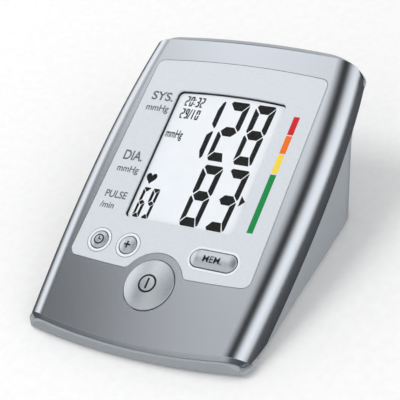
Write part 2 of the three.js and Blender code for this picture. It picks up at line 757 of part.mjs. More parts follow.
// Printed panel round the display and the small keys
function fasciaPanel() {
  return panelPlate(0, -panelThickness, 0)
    .subtract(solid(prism(displayOutline(0), -5, 5)))
    .subtract(keyHoles(-5, 5));
}

// A button: a cap with a crowned top, a flange that keeps it in, and a stem over its switch
function roundButton(x, y, radius, crown) {
  const top = buttonProud;
  const crownSteps = 5;
  const profile = [[0, stemEnd], [buttonStemRadius, stemEnd], [buttonStemRadius, flangeTop - buttonFlangeThickness],
    [radius + buttonFlange, flangeTop - buttonFlangeThickness], [radius + buttonFlange, flangeTop],
    [radius, flangeTop]];
  for (let i = 0; i < crownSteps; i += 1) {
    const turn = (Math.PI / 2) * (i / crownSteps);
    profile.push([radius * Math.cos(turn), top + crown * Math.sin(turn)]);
  }
  profile.push([0, top + crown]);
  return solid(turned(profile, radius > 6 ? 40 : roundSteps).translate(x, y, 0));
}

function memoryButton() {
  const crownSteps = 4;
  const levels = [{ height: flangeTop - 0.4, points: memoryOutline(0) }];
  for (let i = 0; i <= crownSteps; i += 1) {
    const turn = (Math.PI / 2) * (i / (crownSteps + 0.6));
    const inset = (memoryButtonWidth / 2) * (1 - Math.cos(turn)) * 0.8;
    levels.push({ height: buttonProud + memoryButtonCrown * Math.sin(turn), points: memoryOutline(-inset) });
  }
  const cap = solid(skinOverOutlines(levels));
  const flange = solid(prism(memoryOutline(buttonFlange), flangeTop - buttonFlangeThickness, flangeTop));
  const [x, y] = memoryButtonPlace;
  const stem = solid(rod(x, y, buttonStemRadius, stemEnd, flangeTop - 0.5));
  return cap.add(flange).add(stem);
}

// Tactile switch on the key board, under a button's stem
function tactileSwitch([x, y]) {
  const bottom = keyBoardTop + gap;
  const bodyTop = plungerTop - switchPlungerHeight;
  const half = switchSize / 2;
  return solid(box(x - half, x + half, y - half, y + half, bottom, bodyTop))
    .add(solid(rod(x, y, switchPlungerRadius, bodyTop - 0.5, plungerTop, smallRoundSteps)));
}

function boardWithHoles(outline, top, holes) {
  let body = solid(prism(outline, top - boardThickness, top));
  for (const [x, y] of holes) {
    body = body.subtract(solid(rod(x, y, boardScrewRadius + gap, top - boardThickness - 1, top + 1, smallRoundSteps)));
  }
  return body;
}

function boardScrew([x, y], underside) {
  const headTop = underside - gap;
  const head = headTop - boardScrewHeadHeight;
  return solid(turned([[0, head], [boardScrewHeadRadius, head], [boardScrewHeadRadius, headTop],
    [boardScrewRadius, headTop], [boardScrewRadius, headTop + boardScrewLength], [0, headTop + boardScrewLength]],
  smallRoundSteps).translate(x, y, 0));
}

// Display stack, from the pane down
const glassOutline = (grow) => displayOutline(paneLap + grow);
const zebraRear = displayRear + paneLap - displayBow - 1.2;
const stackLeft = displayLeft - paneLap;
const stackRight = displayRight + paneLap;
function displayPane() {
  return solid(prism(glassOutline(0), paneTop - paneThickness, paneTop));
}
function lcdGlass() {
  return solid(prism(glassOutline(0), lcdTop - lcdThickness, lcdTop));
}
function lcdReflector() {
  const outline = roundedOutline(stackLeft + 0.5, stackRight - 0.5, displayFront - 1,
    zebraRear - zebraWidth - 1, 1);
  return solid(prism(outline, reflectorTop - reflectorThickness, reflectorTop));
}
function lcdFrame() {
  const outer = solid(prism(glassOutline(lcdFrameWall), lcdFrameBottom, paneTop));
  return outer.subtract(solid(prism(glassOutline(gap), lcdFrameBottom - 1, paneTop + 1)));
}
function zebraStrip() {
  const left = stackLeft + 6;
  const right = stackRight - 6;
  return solid(box(left, right, zebraRear - zebraWidth, zebraRear, zebraTop - zebraHeight, zebraTop));
}

// Parts on the underside of the main board
function undersideBox([x, y], size, height) {
  const top = mainBoardUnderside - gap;
  return solid(box(x - size / 2, x + size / 2, y - size / 2, y + size / 2, top - height, top));
}
const sensorNozzleLevel = mainBoardUnderside - gap - sensorHeight / 2;
function pressureSensor() {
  const [x, y] = sensorPlace;
  const side = x - sensorSize / 2;
  return undersideBox(sensorPlace, sensorSize, sensorHeight)
    .add(solid(rodAlongX(side - nozzleLength, side + 1, y, sensorNozzleLevel, nozzleRadius, smallRoundSteps)));
}

// Battery parts
function cell(place) {
  const direction = place.nubToRear ? 1 : -1;
  const profile = [[0, 0], [cellRadius - 0.6, 0], [cellRadius, 0.6], [cellRadius, cellBodyLength - 0.6],
    [cellRadius - 0.6, cellBodyLength], [cellNubRadius, cellBodyLength],
    [cellNubRadius, cellBodyLength + cellNubLength], [0, cellBodyLength + cellNubLength]];
  const geometry = turned(profile).rotateX(-direction * Math.PI / 2);
  const start = place.nubToRear
    ? bayFront + plateThickness + gap / 2 + springLength + gap / 2
    : bayRear - plateThickness - gap / 2 - springLength - gap / 2;
  return solid(geometry.translate(place.x, start, cellAxisHeight));
}

// Conical helix along Y, wide at its seat and narrow where it meets the cell
class ConeHelix extends THREE.Curve {
  constructor(seatRadius, tipRadius, length, turns) {
    super();
    this.seatRadius = seatRadius;
    this.tipRadius = tipRadius;
    this.length = length;
    this.turns = turns;
  }

  getPoint(t, target = new THREE.Vector3()) {
    const turn = 2 * Math.PI * this.turns * t;
    const radius = this.seatRadius + (this.tipRadius - this.seatRadius) * t;
    return target.set(radius * Math.cos(turn), this.length * t, radius * Math.sin(turn));
  }
}

function batterySpring(place) {
  const section = new THREE.Shape(Array.from({ length: 5 }, (_, i) => {
    const turn = (2 * Math.PI * i) / 5;
    return new THREE.Vector2(springWire * Math.cos(turn), springWire * Math.sin(turn));
  }));
  const rise = (springLength - 2 * springWire - gap) * (place.nubToRear ? 1 : -1);
  const curve = new ConeHelix(springRadius, springTipRadius, rise, springTurns);
  const geometry = new THREE.ExtrudeGeometry(section, {
    steps: springTurns * 12, extrudePath: curve, bevelEnabled: false,
  });
  const seat = place.nubToRear
    ? bayFront + plateThickness + gap / 2 + springWire
    : bayRear - plateThickness - gap / 2 - springWire;
  return solid(geometry.translate(place.x, seat, cellAxisHeight));
}

function contactPlate(atRear) {
  const y0 = atRear ? bayRear - plateThickness : bayFront;
  const inset = 2;
  return solid(box(bayLeft + inset, bayRight - inset, y0, y0 + plateThickness, floorTop + 1, bayRoofUnderside - 1));
}

// Battery door with two hinge knuckles at its front edge, a pin through each, and a latch tongue at its rear edge
function batteryDoor() {
  const plateFront = bayFront + doorGap;
  let body = solid(box(bayLeft + doorGap, bayRight - doorGap, plateFront, bayRear - doorGap, footHeight, doorTop));
  body = body.add(solid(box(bayCentreX - latchWidth / 2, bayCentreX + latchWidth / 2, bayRear - 2,
    bayRear + latchReach, footHeight, doorTop)));
  for (const x of hingePlaces) {
    const half = knuckleLength / 2;
    const pinHalf = hingePinLength / 2;
    body = body.add(solid(rodAlongX(x - half, x + half, hingeY, hingeZ, knuckleRadius, smallRoundSteps)));
    body = body.add(solid(box(x - half, x + half, hingeY, plateFront + 1, footHeight, doorTop)));
    body = body.add(solid(rodAlongX(x - pinHalf, x + pinHalf, hingeY, hingeZ, hingePinRadius, smallRoundSteps)));
  }
  return body;
}

// Pump: a motor can and a pump head on one axis, held in a saddle on the floor
const pumpFront = baseRear - pumpFrontFromRear;
const pumpAxisHeight = floorTop + pumpLift + pumpRadius;
const pumpHeadFront = pumpFront + motorLength + gap;
const pumpRear = pumpHeadFront + pumpHeadLength;
const pumpNozzle = [pumpCentreX - 5.5, pumpAxisHeight + 6];
function pumpMotor() {
  const shaftEnd = solid(rodAlongY(pumpCentreX, pumpFront - 2, pumpFront + 1, pumpAxisHeight, 3, smallRoundSteps));
  return solid(rodAlongY(pumpCentreX, pumpFront, pumpFront + motorLength, pumpAxisHeight, pumpRadius)).add(shaftEnd);
}
function pumpHead() {
  const half = pumpRadius - 0.4;
  const outline = roundedOutline(pumpCentreX - half, pumpCentreX + half, pumpAxisHeight - half,
    pumpAxisHeight + half, 3, 3);
  const block = prism(outline, 0, pumpHeadLength).rotateX(Math.PI / 2).translate(0, pumpRear, 0);
  const [x, z] = pumpNozzle;
  return solid(block).add(solid(rodAlongY(x, pumpRear - 1, pumpRear + nozzleLength, z, nozzleRadius, smallRoundSteps)));
}
function pumpBracket() {
  const y0 = pumpFront + (motorLength - saddleWidth) / 2;
  const block = box(pumpCentreX - pumpRadius + 1, pumpCentreX + pumpRadius - 1, y0, y0 + saddleWidth,
    floorTop, floorTop + saddleHeight);
  const hollow = rodAlongY(pumpCentreX, y0 - 1, y0 + saddleWidth + 1, pumpAxisHeight, pumpRadius + 0.2);
  return solid(block).subtract(solid(hollow));
}

// Air manifold on the roof of the battery bay, with its two valves
const [manifoldWidth, manifoldDepth, manifoldHeight] = manifoldSize;
const manifoldY = bayRear - manifoldFromBayRear;
const manifoldFrontY = manifoldY - manifoldDepth / 2;
const manifoldRearY = manifoldY + manifoldDepth / 2;
const manifoldRight = manifoldX + manifoldWidth / 2;
const manifoldLeft = manifoldX - manifoldWidth / 2;
const airLevel = bayRoofTop + manifoldHeight / 2;
const sensorPort = manifoldY + 3.2;
const pumpPort = manifoldY - 3.2;
function airManifold() {
  const block = box(manifoldLeft, manifoldRight, manifoldFrontY, manifoldRearY,
    bayRoofTop, bayRoofTop + manifoldHeight);
  let body = solid(block);
  for (const y of [sensorPort, pumpPort]) {
    body = body.add(solid(rodAlongX(manifoldRight - 1, manifoldRight + nozzleLength, y, airLevel, nozzleRadius,
      smallRoundSteps)));
  }
  return body.add(solid(rodAlongX(manifoldLeft - nozzleLength, manifoldLeft + 1, manifoldY, airLevel, nozzleRadius,
    smallRoundSteps)));
}
function releaseValve() {
  const z = bayRoofTop + releaseValveRadius + gap;
  return solid(rodAlongY(manifoldX, manifoldRearY, manifoldRearY + releaseValveLength, z, releaseValveRadius));
}
function leakValve() {
  const z = bayRoofTop + leakValveRadius + gap;
  return solid(rodAlongY(manifoldX, manifoldFrontY - leakValveLength, manifoldFrontY, z, leakValveRadius,
    smallRoundSteps));
}

// Silicone air tube through a list of points
function airTube(points, steps) {
  const curve = new THREE.CatmullRomCurve3(points.map((point) => new THREE.Vector3(...point)), false, 'centripetal');
  const sides = 8;
  const circle = (radius) => Array.from({ length: sides }, (_, i) => {
    const turn = (2 * Math.PI * (i + 0.5)) / sides;
    return new THREE.Vector2(radius * Math.cos(turn), radius * Math.sin(turn));
  });
  const section = new THREE.Shape(circle(tubeRadius));
  section.holes.push(new THREE.Path(circle(tubeBore)));
  return solid(new THREE.ExtrudeGeometry(section, { steps, extrudePath: curve, bevelEnabled: false }));
}

// Sockets in the left wall
const wallHalfAt = (height) => baseHalfWidth + (baseDraft * (height - footHeight)) / rearFlareHeight;
const leftWall = -wallHalfAt(cuffSocketHeight + cuffCollarRadius);
const socketY = baseRear - cuffSocketFromRear;
const jackY = baseRear - jackFromRear;
const jackBoreDepth = jackLength - jackBoreRoom;
const socketInner = leftWall + cuffSocketLength;
const socketNozzleX = socketInner - 2.0;
const socketTop = cuffSocketHeight + cuffSocketRadius;
function cuffSocket() {
  const collarOut = leftWall - gap - cuffCollarThickness;
  let body = solid(rodAlongX(leftWall - gap - 0.5, socketInner, socketY, cuffSocketHeight, cuffSocketRadius));
  body = body.add(solid(rodAlongX(collarOut, leftWall - gap, socketY, cuffSocketHeight, cuffCollarRadius)));
  body = body.add(solid(rod(socketNozzleX, socketY, nozzleRadius, socketTop - 1, socketTop + nozzleLength,
    smallRoundSteps)));
  const bore = rodAlongX(collarOut - 1, collarOut + cuffSocketBoreDepth, socketY, cuffSocketHeight, cuffSocketBore);
  return body.subtract(solid(bore));
}
function dcJack() {
  const block = box(leftWall + housingWall + 2 * gap, leftWall + jackLength, jackY - jackWidth / 2,
    jackY + jackWidth / 2, floorTop, jackHeight + jackWidth / 2);
  const nose = rodAlongX(leftWall + 0.3, leftWall + housingWall + 1.5, jackY, jackHeight, jackNoseRadius);
  const bore = rodAlongX(leftWall - 1, leftWall + 0.3 + jackBoreDepth, jackY, jackHeight, jackBore);
  const pin = rodAlongX(leftWall + 1.5, leftWall + 0.8 + jackBoreDepth, jackY, jackHeight, jackPinRadius,
    smallRoundSteps);
  return solid(block).add(solid(nose)).subtract(solid(bore)).add(solid(pin));
}

// Case screw, driven up from under its foot
function caseScrew(post) {
  const seat = post.top - postWeb;
  const head = seat - caseScrewHeadHeight;
  const tip = post.top + post.screwLength - postWeb - 0.4;
  return solid(turned([[0, head], [caseScrewHeadRadius, head], [caseScrewHeadRadius, seat],
    [caseScrewRadius, seat], [caseScrewRadius, tip], [0, tip]], smallRoundSteps).translate(post.x, post.y, 0));
}

const facePoint = (x, y, n) => new THREE.Vector3(x, y, n).applyMatrix4(faceMatrix).toArray();

addPart('top_cover', topCover(), materials.silverPaint, faceGroup);
addPart('lower_housing', lowerHousing(), materials.greyAbs);
addPart('fascia_panel', fasciaPanel(), materials.printedPanel, faceGroup);
addPart('display_window', displayPane(), materials.clearPane, faceGroup);
addPart('lcd_glass', lcdGlass(), materials.lcdGlass, faceGroup);
addPart('lcd_reflector', lcdReflector(), materials.whitePlastic, faceGroup);
addPart('lcd_frame', lcdFrame(), materials.blackPlastic, faceGroup);
addPart('zebra_strip', zebraStrip(), materials.siliconeRubber, faceGroup);

addPart('start_button', roundButton(...startButtonPlace, startButtonRadius, startButtonCrown),
  materials.silverButton, faceGroup);
addPart('clock_button', roundButton(...clockButtonPlace, smallButtonRadius, smallButtonCrown),
  materials.silverButton, faceGroup);
addPart('plus_button', roundButton(...plusButtonPlace, smallButtonRadius, smallButtonCrown),
  materials.silverButton, faceGroup);
addPart('memory_button', memoryButton(), materials.silverButton, faceGroup);

addPart('start_switch', tactileSwitch(startButtonPlace), materials.blackPlastic, faceGroup);
addPart('clock_switch', tactileSwitch(clockButtonPlace), materials.blackPlastic, faceGroup);
addPart('plus_switch', tactileSwitch(plusButtonPlace), materials.blackPlastic, faceGroup);
addPart('memory_switch', tactileSwitch(memoryButtonPlace), materials.blackPlastic, faceGroup);

const keyBoardOutline = roundedOutline(-keyBoardHalfWidth, keyBoardHalfWidth, keyBoardFront, keyBoardRear, 2, 3);
const mainBoardOutline = roundedOutline(-mainBoardHalfWidth, mainBoardHalfWidth, mainBoardFront, mainBoardRear, 2, 3);
addPart('key_pcb', boardWithHoles(keyBoardOutline, keyBoardTop, keyBoardBosses), materials.circuitBoard, faceGroup);
addPart('main_pcb', boardWithHoles(mainBoardOutline, mainBoardTop, mainBoardBosses), materials.circuitBoard,
  faceGroup);
keyBoardBosses.forEach((place, i) => {
  addPart(`key_pcb_screw_${i + 1}`, boardScrew(place, keyBoardTop - boardThickness), materials.zincSteel, faceGroup);
});
mainBoardBosses.forEach((place, i) => {
  addPart(`main_pcb_screw_${i + 1}`, boardScrew(place, mainBoardUnderside), materials.zincSteel, faceGroup);
});
addPart('microcontroller', undersideBox(controllerPlace, ...controllerSize), materials.blackPlastic, faceGroup);
addPart('pressure_sensor', pressureSensor(), materials.blackPlastic, faceGroup);
addPart('buzzer', undersideBox(buzzerPlace, ...buzzerSize), materials.blackPlastic, faceGroup);

cellPlaces.forEach((place, i) => {
  addPart(`battery_cell_${i + 1}`, cell(place), materials.cellSleeve);
  addPart(`battery_spring_${i + 1}`, batterySpring(place), materials.nickelSteel);
});
addPart('contact_plate_front', contactPlate(false), materials.nickelSteel);
addPart('contact_plate_rear', contactPlate(true), materials.nickelSteel);
addPart('battery_door', batteryDoor(), materials.greyAbs);

addPart('pump_motor', pumpMotor(), materials.zincSteel);
addPart('pump_head', pumpHead(), materials.blackPlastic);
addPart('pump_bracket', pumpBracket(), materials.whitePlastic);
addPart('air_manifold', airManifold(), materials.whitePlastic);
addPart('release_valve', releaseValve(), materials.zincSteel);
addPart('leak_valve', leakValve(), materials.blackPlastic);
addPart('cuff_socket', cuffSocket(), materials.blackPlastic);
addPart('dc_jack', dcJack(), materials.blackPlastic);

// Each tube runs straight over its nozzles before it bends
const straightRun = nozzleLength + 0.8;
const bendRun = straightRun + 1.7;
addPart('pump_tube', airTube([
  [pumpNozzle[0], pumpRear + gap, pumpNozzle[1]],
  [pumpNozzle[0], pumpRear + straightRun, pumpNozzle[1]],
  [pumpNozzle[0], pumpRear + bendRun, pumpNozzle[1]],
  [pumpNozzle[0] - tubeStep[0], pumpRear + bendRun + tubeStep[1], airLevel - 1],
  [manifoldRight + tubeSweep[0], pumpPort + tubeSweep[1], airLevel],
  [manifoldRight + tubeApproach[0], pumpPort + tubeApproach[1], airLevel],
  [manifoldRight + bendRun, pumpPort, airLevel],
  [manifoldRight + straightRun, pumpPort, airLevel],
  [manifoldRight + gap, pumpPort, airLevel],
], 24), materials.siliconeRubber);
const sensorFace = sensorPlace[0] - sensorSize / 2;
addPart('sensor_tube', airTube([
  facePoint(sensorFace - gap, sensorPlace[1], sensorNozzleLevel),
  facePoint(sensorFace - straightRun, sensorPlace[1], sensorNozzleLevel),
  facePoint(sensorFace - bendRun, sensorPlace[1], sensorNozzleLevel),
  [manifoldRight + bendRun + 6, sensorPort + 2.5, airLevel + 4.5],
  [manifoldRight + bendRun, sensorPort, airLevel],
  [manifoldRight + straightRun, sensorPort, airLevel],
  [manifoldRight + gap, sensorPort, airLevel],
], 20), materials.siliconeRubber);
addPart('cuff_tube', airTube([
  [socketNozzleX, socketY, socketTop + gap],
  [socketNozzleX, socketY, socketTop + straightRun],
  [socketNozzleX, socketY + 0.3, socketTop + bendRun],
  [socketNozzleX - 0.5, socketY + 5.5, airLevel + 2.5],
  [socketNozzleX + 0.5, manifoldY - 7, airLevel + 1.5],
  [manifoldLeft - bendRun - 1.2, manifoldY - 1.3, airLevel + 0.3],
  [manifoldLeft - bendRun + 0.4, manifoldY - 0.1, airLevel],
  [manifoldLeft - straightRun, manifoldY, airLevel],
  [manifoldLeft - gap, manifoldY, airLevel],
], 26), materials.siliconeRubber);

posts.forEach((post, i) => {
  const names = ['front_left', 'front_right', 'rear_left', 'rear_right'];
  addPart(`foot_${names[i]}`, solid(rod(post.x, post.y, footRadius, 0, footThickness)), materials.darkRubber);
  addPart(`case_screw_${names[i]}`, caseScrew(post), materials.zincSteel);
});

export default root;
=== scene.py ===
# %% [markdown]
# This lesson dresses a desk-top blood pressure monitor. The real one is a wedge of moulded plastic with a
# silver painted top cover, a pale printed panel, a large display and four push buttons. Its solids come
# packed as a fixed frame, and the pieces made here stand on that frame or in the place of one of its nodes.

# %% Load the frame
import json
import math

import bmesh
import bpy
from mathutils import Matrix, Vector


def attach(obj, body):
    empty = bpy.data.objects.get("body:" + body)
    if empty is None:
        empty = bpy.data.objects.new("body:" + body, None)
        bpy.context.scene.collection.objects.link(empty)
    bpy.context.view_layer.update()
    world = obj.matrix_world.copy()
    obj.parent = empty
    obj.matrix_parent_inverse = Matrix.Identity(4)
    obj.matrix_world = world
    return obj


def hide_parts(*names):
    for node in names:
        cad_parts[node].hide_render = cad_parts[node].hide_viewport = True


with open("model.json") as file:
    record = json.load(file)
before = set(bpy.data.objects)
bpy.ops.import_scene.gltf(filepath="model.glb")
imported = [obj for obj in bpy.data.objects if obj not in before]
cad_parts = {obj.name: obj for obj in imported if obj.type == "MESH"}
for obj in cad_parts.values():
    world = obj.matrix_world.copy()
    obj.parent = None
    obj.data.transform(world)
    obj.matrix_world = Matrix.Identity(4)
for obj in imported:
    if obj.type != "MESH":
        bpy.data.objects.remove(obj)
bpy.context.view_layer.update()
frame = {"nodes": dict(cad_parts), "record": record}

# %% [markdown]
# Everything on the sloping top is easier to model flat on the bench: X across, Y from the front edge to the
# rear and Z up out of the face. One matrix then tilts a finished piece by the slope of the case and sets it
# on the front edge, and the transform is applied, so that the object itself stays at the origin.

# %% Bench and face
MM = 0.001
FACE_TILT = math.radians(19)
FACE_START = Vector((0, -70.634 * MM, 8.1 * MM))
FACE_PLACE = Matrix.Translation(FACE_START) @ Matrix.Rotation(FACE_TILT, 4, "X")


def deselect():
    """Leaves nothing selected, in object mode."""
    if bpy.context.object and bpy.context.object.mode != "OBJECT":
        bpy.ops.object.mode_set(mode="OBJECT")
    bpy.ops.object.select_all(action="DESELECT")


def work_on(piece, mode="EDIT"):
    """Makes one piece active, alone in the selection, and changes the mode."""
    deselect()
    piece.select_set(True)
    bpy.context.view_layer.objects.active = piece
    bpy.ops.object.mode_set(mode=mode)


def set_on_face(piece):
    """Tilts a piece from the bench onto the sloping face and applies its place."""
    work_on(piece, "OBJECT")
    piece.matrix_world = FACE_PLACE @ piece.matrix_world
    bpy.ops.object.transform_apply(location=True, rotation=True, scale=True)
    return piece


print("the face slopes", round(math.degrees(FACE_TILT)), "degrees")

# %% [markdown]
# In edit mode an operator acts on what is selected. A person clicks on edges and faces; here a test on
# their middle picks them, so the same few helpers serve every piece.

# %% Picking and shaping helpers
def pick(piece, kind, test):
    """Selects the vertices, edges or faces whose middle, in mm, passes the test."""
    bpy.ops.mesh.select_mode(type=kind)
    bpy.ops.mesh.select_all(action="DESELECT")
    shape = bmesh.from_edit_mesh(piece.data)
    parts = {"VERT": shape.verts, "EDGE": shape.edges, "FACE": shape.faces}[kind]
    found = 0
    for part in parts:
        corners = [part.co] if kind == "VERT" else [corner.co for corner in part.verts]
        middle = sum(corners, Vector()) / len(corners) / MM
        if test(middle, part):
            part.select_set(True)
            found += 1
    shape.select_flush_mode()
    bmesh.update_edit_mesh(piece.data)
    return found


def block(name, x, y, z):
    """A box primitive between two limits along each axis, in mm, with its size applied."""
    deselect()
    middle = [(low + high) / 2 * MM for low, high in (x, y, z)]
    size = [(high - low) * MM for low, high in (x, y, z)]
    bpy.ops.mesh.primitive_cube_add(size=1, location=middle, scale=size)
    piece = bpy.context.object
    piece.name = name
    bpy.ops.object.transform_apply(location=True, rotation=True, scale=True)
    return piece


def outlined_face(name, outline, level):
    """A circle primitive whose corners are dragged to the outline, left in edit mode with all selected."""
    deselect()
    bpy.ops.mesh.primitive_circle_add(vertices=len(outline), radius=MM, fill_type="NGON")
    piece = bpy.context.object
    piece.name = name
    work_on(piece)
    shape = bmesh.from_edit_mesh(piece.data)
    for corner, (x, y) in zip(shape.verts, outline):
        corner.co = (x * MM, y * MM, level * MM)
    bmesh.update_edit_mesh(piece.data)
    bpy.ops.mesh.select_all(action="SELECT")
    return piece


def plate(name, outline, low, high):
    """A flat plate: an outlined face that is extruded upwards."""
    piece = outlined_face(name, outline, low)
    bpy.ops.mesh.extrude_region_move(TRANSFORM_OT_translate={"value": (0, 0, (high - low) * MM)})
    bpy.ops.mesh.select_all(action="SELECT")
    bpy.ops.mesh.normals_make_consistent(inside=False)
    deselect()
    return piece


def turned(name, profile, place=(0, 0), steps=64):
    """A turned piece: a chain of (radius, height) points in mm, extruded one by one and spun once round Z."""
    deselect()
    bpy.ops.mesh.primitive_plane_add(size=MM)
    piece = bpy.context.object
    piece.name = name
    work_on(piece)
    bpy.ops.mesh.select_mode(type="VERT")
    bpy.ops.mesh.select_all(action="SELECT")
    bpy.ops.mesh.merge(type="CENTER")
    last = Vector((profile[0][0], 0, profile[0][1])) * MM
    bpy.ops.transform.translate(value=last)
    for radius, height in profile[1:]:
        point = Vector((radius, 0, height)) * MM
        bpy.ops.mesh.extrude_region_move(TRANSFORM_OT_translate={"value": point - last})
        last = point
    bpy.ops.mesh.select_all(action="SELECT")
    bpy.ops.mesh.spin(steps=steps, angle=2 * math.pi, center=(0, 0, 0), axis=(0, 0, 1))
    bpy.ops.mesh.select_all(action="SELECT")
    bpy.ops.mesh.remove_doubles(threshold=0.002 * MM)
    bpy.ops.mesh.normals_make_consistent(inside=False)
    bpy.ops.transform.translate(value=(place[0] * MM, place[1] * MM, 0))
    deselect()
    return piece


def apply_modifier(piece, kind, **settings):
    """Adds one modifier and applies it at once."""
    work_on(piece, "OBJECT")
    modifier = piece.modifiers.new(kind.lower(), kind)
    for name, value in settings.items():
        setattr(modifier, name, value)
    bpy.ops.object.modifier_apply(modifier=modifier.name)
    return piece


def carve(piece, tool, way="DIFFERENCE"):
    """Cuts a tool's shape out of a piece, or adds it, and throws the tool away."""
    apply_modifier(piece, "BOOLEAN", object=tool, operation=way, solver="EXACT")
    bpy.data.objects.remove(tool)
    return piece


def round_edges(piece, width, steps=2, angle=30):
    """Breaks every edge sharper than the angle, as a mould does."""
    apply_modifier(piece, "BEVEL", width=width * MM, segments=steps, limit_method="ANGLE",
                   angle_limit=math.radians(angle), miter_outer="MITER_ARC")
    return piece


def smooth(piece, angle=35):
    """Smooth shading, with sharp edges kept sharp and large flats kept flat."""
    work_on(piece, "OBJECT")
    bpy.ops.object.shade_smooth_by_angle(angle=math.radians(angle))
    apply_modifier(piece, "WEIGHTED_NORMAL", keep_sharp=True)
    return piece


def join(name, pieces):
    """Several pieces as one object."""
    deselect()
    for piece in pieces:
        piece.select_set(True)
    bpy.context.view_layer.objects.active = pieces[0]
    bpy.ops.object.join()
    pieces[0].name = name
    return pieces[0]


def copy_of(piece, name):
    """A copy with a mesh of its own."""
    twin = piece.copy()
    twin.data = piece.data.copy()
    twin.name = name
    bpy.context.scene.collection.objects.link(twin)
    return twin


def finished(piece, material, body, replaces=()):
    """Gives a piece its material, and hands it to the frame."""
    piece.data.name = piece.name
    piece.data.materials.clear()
    piece.data.materials.append(material)
    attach(piece, body)
    if replaces:
        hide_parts(*replaces)
    print(piece.name, len(piece.data.polygons), "faces")


# %% [markdown]
# Outlines are lists of points that run anticlockwise. A corner is a quarter of a circle, and the display
# and the panel have a rear edge that bows gently to the rear, like the case.

# %% Outlines
def arc(centre, radius, start, end, steps):
    """Points on an arc, angles in degrees."""
    turns = [math.radians(start + (end - start) * i / steps) for i in range(steps + 1)]
    return [(centre[0] + radius * math.cos(t), centre[1] + radius * math.sin(t)) for t in turns]


def circle(centre, radius, steps):
    """A whole circle, whose first point isn't repeated at its end."""
    return arc(centre, radius, 0, 360 * (steps - 1) / steps, steps - 1)


def rounded(x0, x1, y0, y1, radius, bow=0, steps=8, across=12):
    """A rectangle with round corners whose rear edge bulges by the bow."""
    middle, half = (x0 + x1) / 2, (x1 - x0) / 2

    def rear(x):
        return y1 - bow * ((x - middle) / half) ** 2

    left, right = x0 + radius, x1 - radius
    points = arc((right, y0 + radius), radius, -90, 0, steps)
    points += arc((right, rear(right) - radius), radius, 0, 90, steps)
    if bow:
        points += [(right + (left - right) * i / across, rear(right + (left - right) * i / across))
                   for i in range(1, across)]
    points += arc((left, rear(left) - radius), radius, 90, 180, steps)
    points += arc((left, y0 + radius), radius, 180, 270, steps)
    return points


def pill(centre, length, width, grow=0.0, steps=16):
    """A bar with half-round ends."""
    radius = width / 2 + grow
    reach = length / 2 - width / 2
    right = arc((centre[0] + reach, centre[1]), radius, -90, 90, steps)
    left = arc((centre[0] - reach, centre[1]), radius, 90, 270, steps)
    return right + left


# %% [markdown]
# Colours are noted as they look on a screen, in sRGB hex. The shader wants linear light, so one function
# turns them. A second small function adds a node, sets its sockets and links what comes from another node.

# %% Colour and node helpers
def linear(code):
    """An sRGB hex colour as linear RGBA."""
    values = [int(code[i:i + 2], 16) / 255 for i in (1, 3, 5)]
    turned_values = [v / 12.92 if v <= 0.04045 else ((v + 0.055) / 1.055) ** 2.4 for v in values]
    return (*turned_values, 1.0)


def node(tree, kind, out=None, sockets=None, **settings):
    """Adds a node. Sockets take a value or the output of another node; out names the output to return."""
    made = tree.nodes.new(kind)
    for name, value in settings.items():
        setattr(made, name, value)
    for name, value in (sockets or {}).items():
        if isinstance(value, bpy.types.NodeSocket):
            tree.links.new(value, made.inputs[name])
        else:
            made.inputs[name].default_value = value
    return made.outputs[out] if out is not None else made


def new_material(name, **sockets):
    """A material with one Principled shader, whose plain values are set on its own sockets."""
    material = bpy.data.materials.new(name)
    material.use_nodes = True
    shader = material.node_tree.nodes["Principled BSDF"]
    for socket, value in sockets.items():
        shader.inputs[socket.replace("_", " ")].default_value = value
    return material, material.node_tree, shader


def speckled(tree, shader, dark, light, grain_mm, bump_mm=0.0, detail=2.0, contrast=0.15, rough=None):
    """Colour that wanders between two tones with a real grain size, with matching bump and gloss."""
    place = node(tree, "ShaderNodeTexCoord", "Object")
    noise = node(tree, "ShaderNodeTexNoise", "Fac",
                 {"Vector": place, "Scale": 1 / (grain_mm * MM), "Detail": detail, "Roughness": 0.6})
    ramp = node(tree, "ShaderNodeValToRGB", "Color", {"Fac": noise})
    elements = ramp.node.color_ramp.elements
    elements[0].position, elements[1].position = 0.5 - contrast, 0.5 + contrast
    elements[0].color, elements[1].color = linear(dark), linear(light)
    tree.links.new(ramp, shader.inputs["Base Color"])
    if rough:
        gloss = node(tree, "ShaderNodeMapRange", "Result", {
            "Value": noise, "From Min": 0.3, "From Max": 0.7, "To Min": rough[0], "To Max": rough[1]})
        tree.links.new(gloss, shader.inputs["Roughness"])
    if bump_mm:
        bump = node(tree, "ShaderNodeBump", "Normal",
                    {"Height": noise, "Distance": bump_mm * MM, "Strength": 0.6})
        tree.links.new(bump, shader.inputs["Normal"])


# %% [markdown]
# The cover is ABS with a silver basecoat: fine aluminium flakes in lacquer, sprayed and then smooth to the
# touch. It mirrors softly, so large lights show as wide bands along the rolled edges, and the flakes give a
# faint grain of about a third of a millimetre.

# %% Silver paint
silver_paint, tree, shader = new_material(
    "silver_basecoat_on_abs", Metallic=0.97, Roughness=0.18, Coat_Weight=0.25, Coat_Roughness=0.12)
speckled(tree, shader, "#b9bec5", "#bfc4cb", grain_mm=0.35, rough=(0.16, 0.2))

button_paint, tree, shader = new_material(
    "silver_paint_on_keys", Metallic=0.75, Roughness=0.3, Coat_Weight=0.2, Coat_Roughness=0.15)
speckled(tree, shader, "#bbc0c6", "#c1c6cc", grain_mm=0.35, rough=(0.27, 0.31))

# %% [markdown]
# The lower housing is grey ABS from a spark-eroded mould: a fine, even texture that scatters light and
# hides ejector marks. The grain is about half a millimetre, and the bump is a few hundredths.

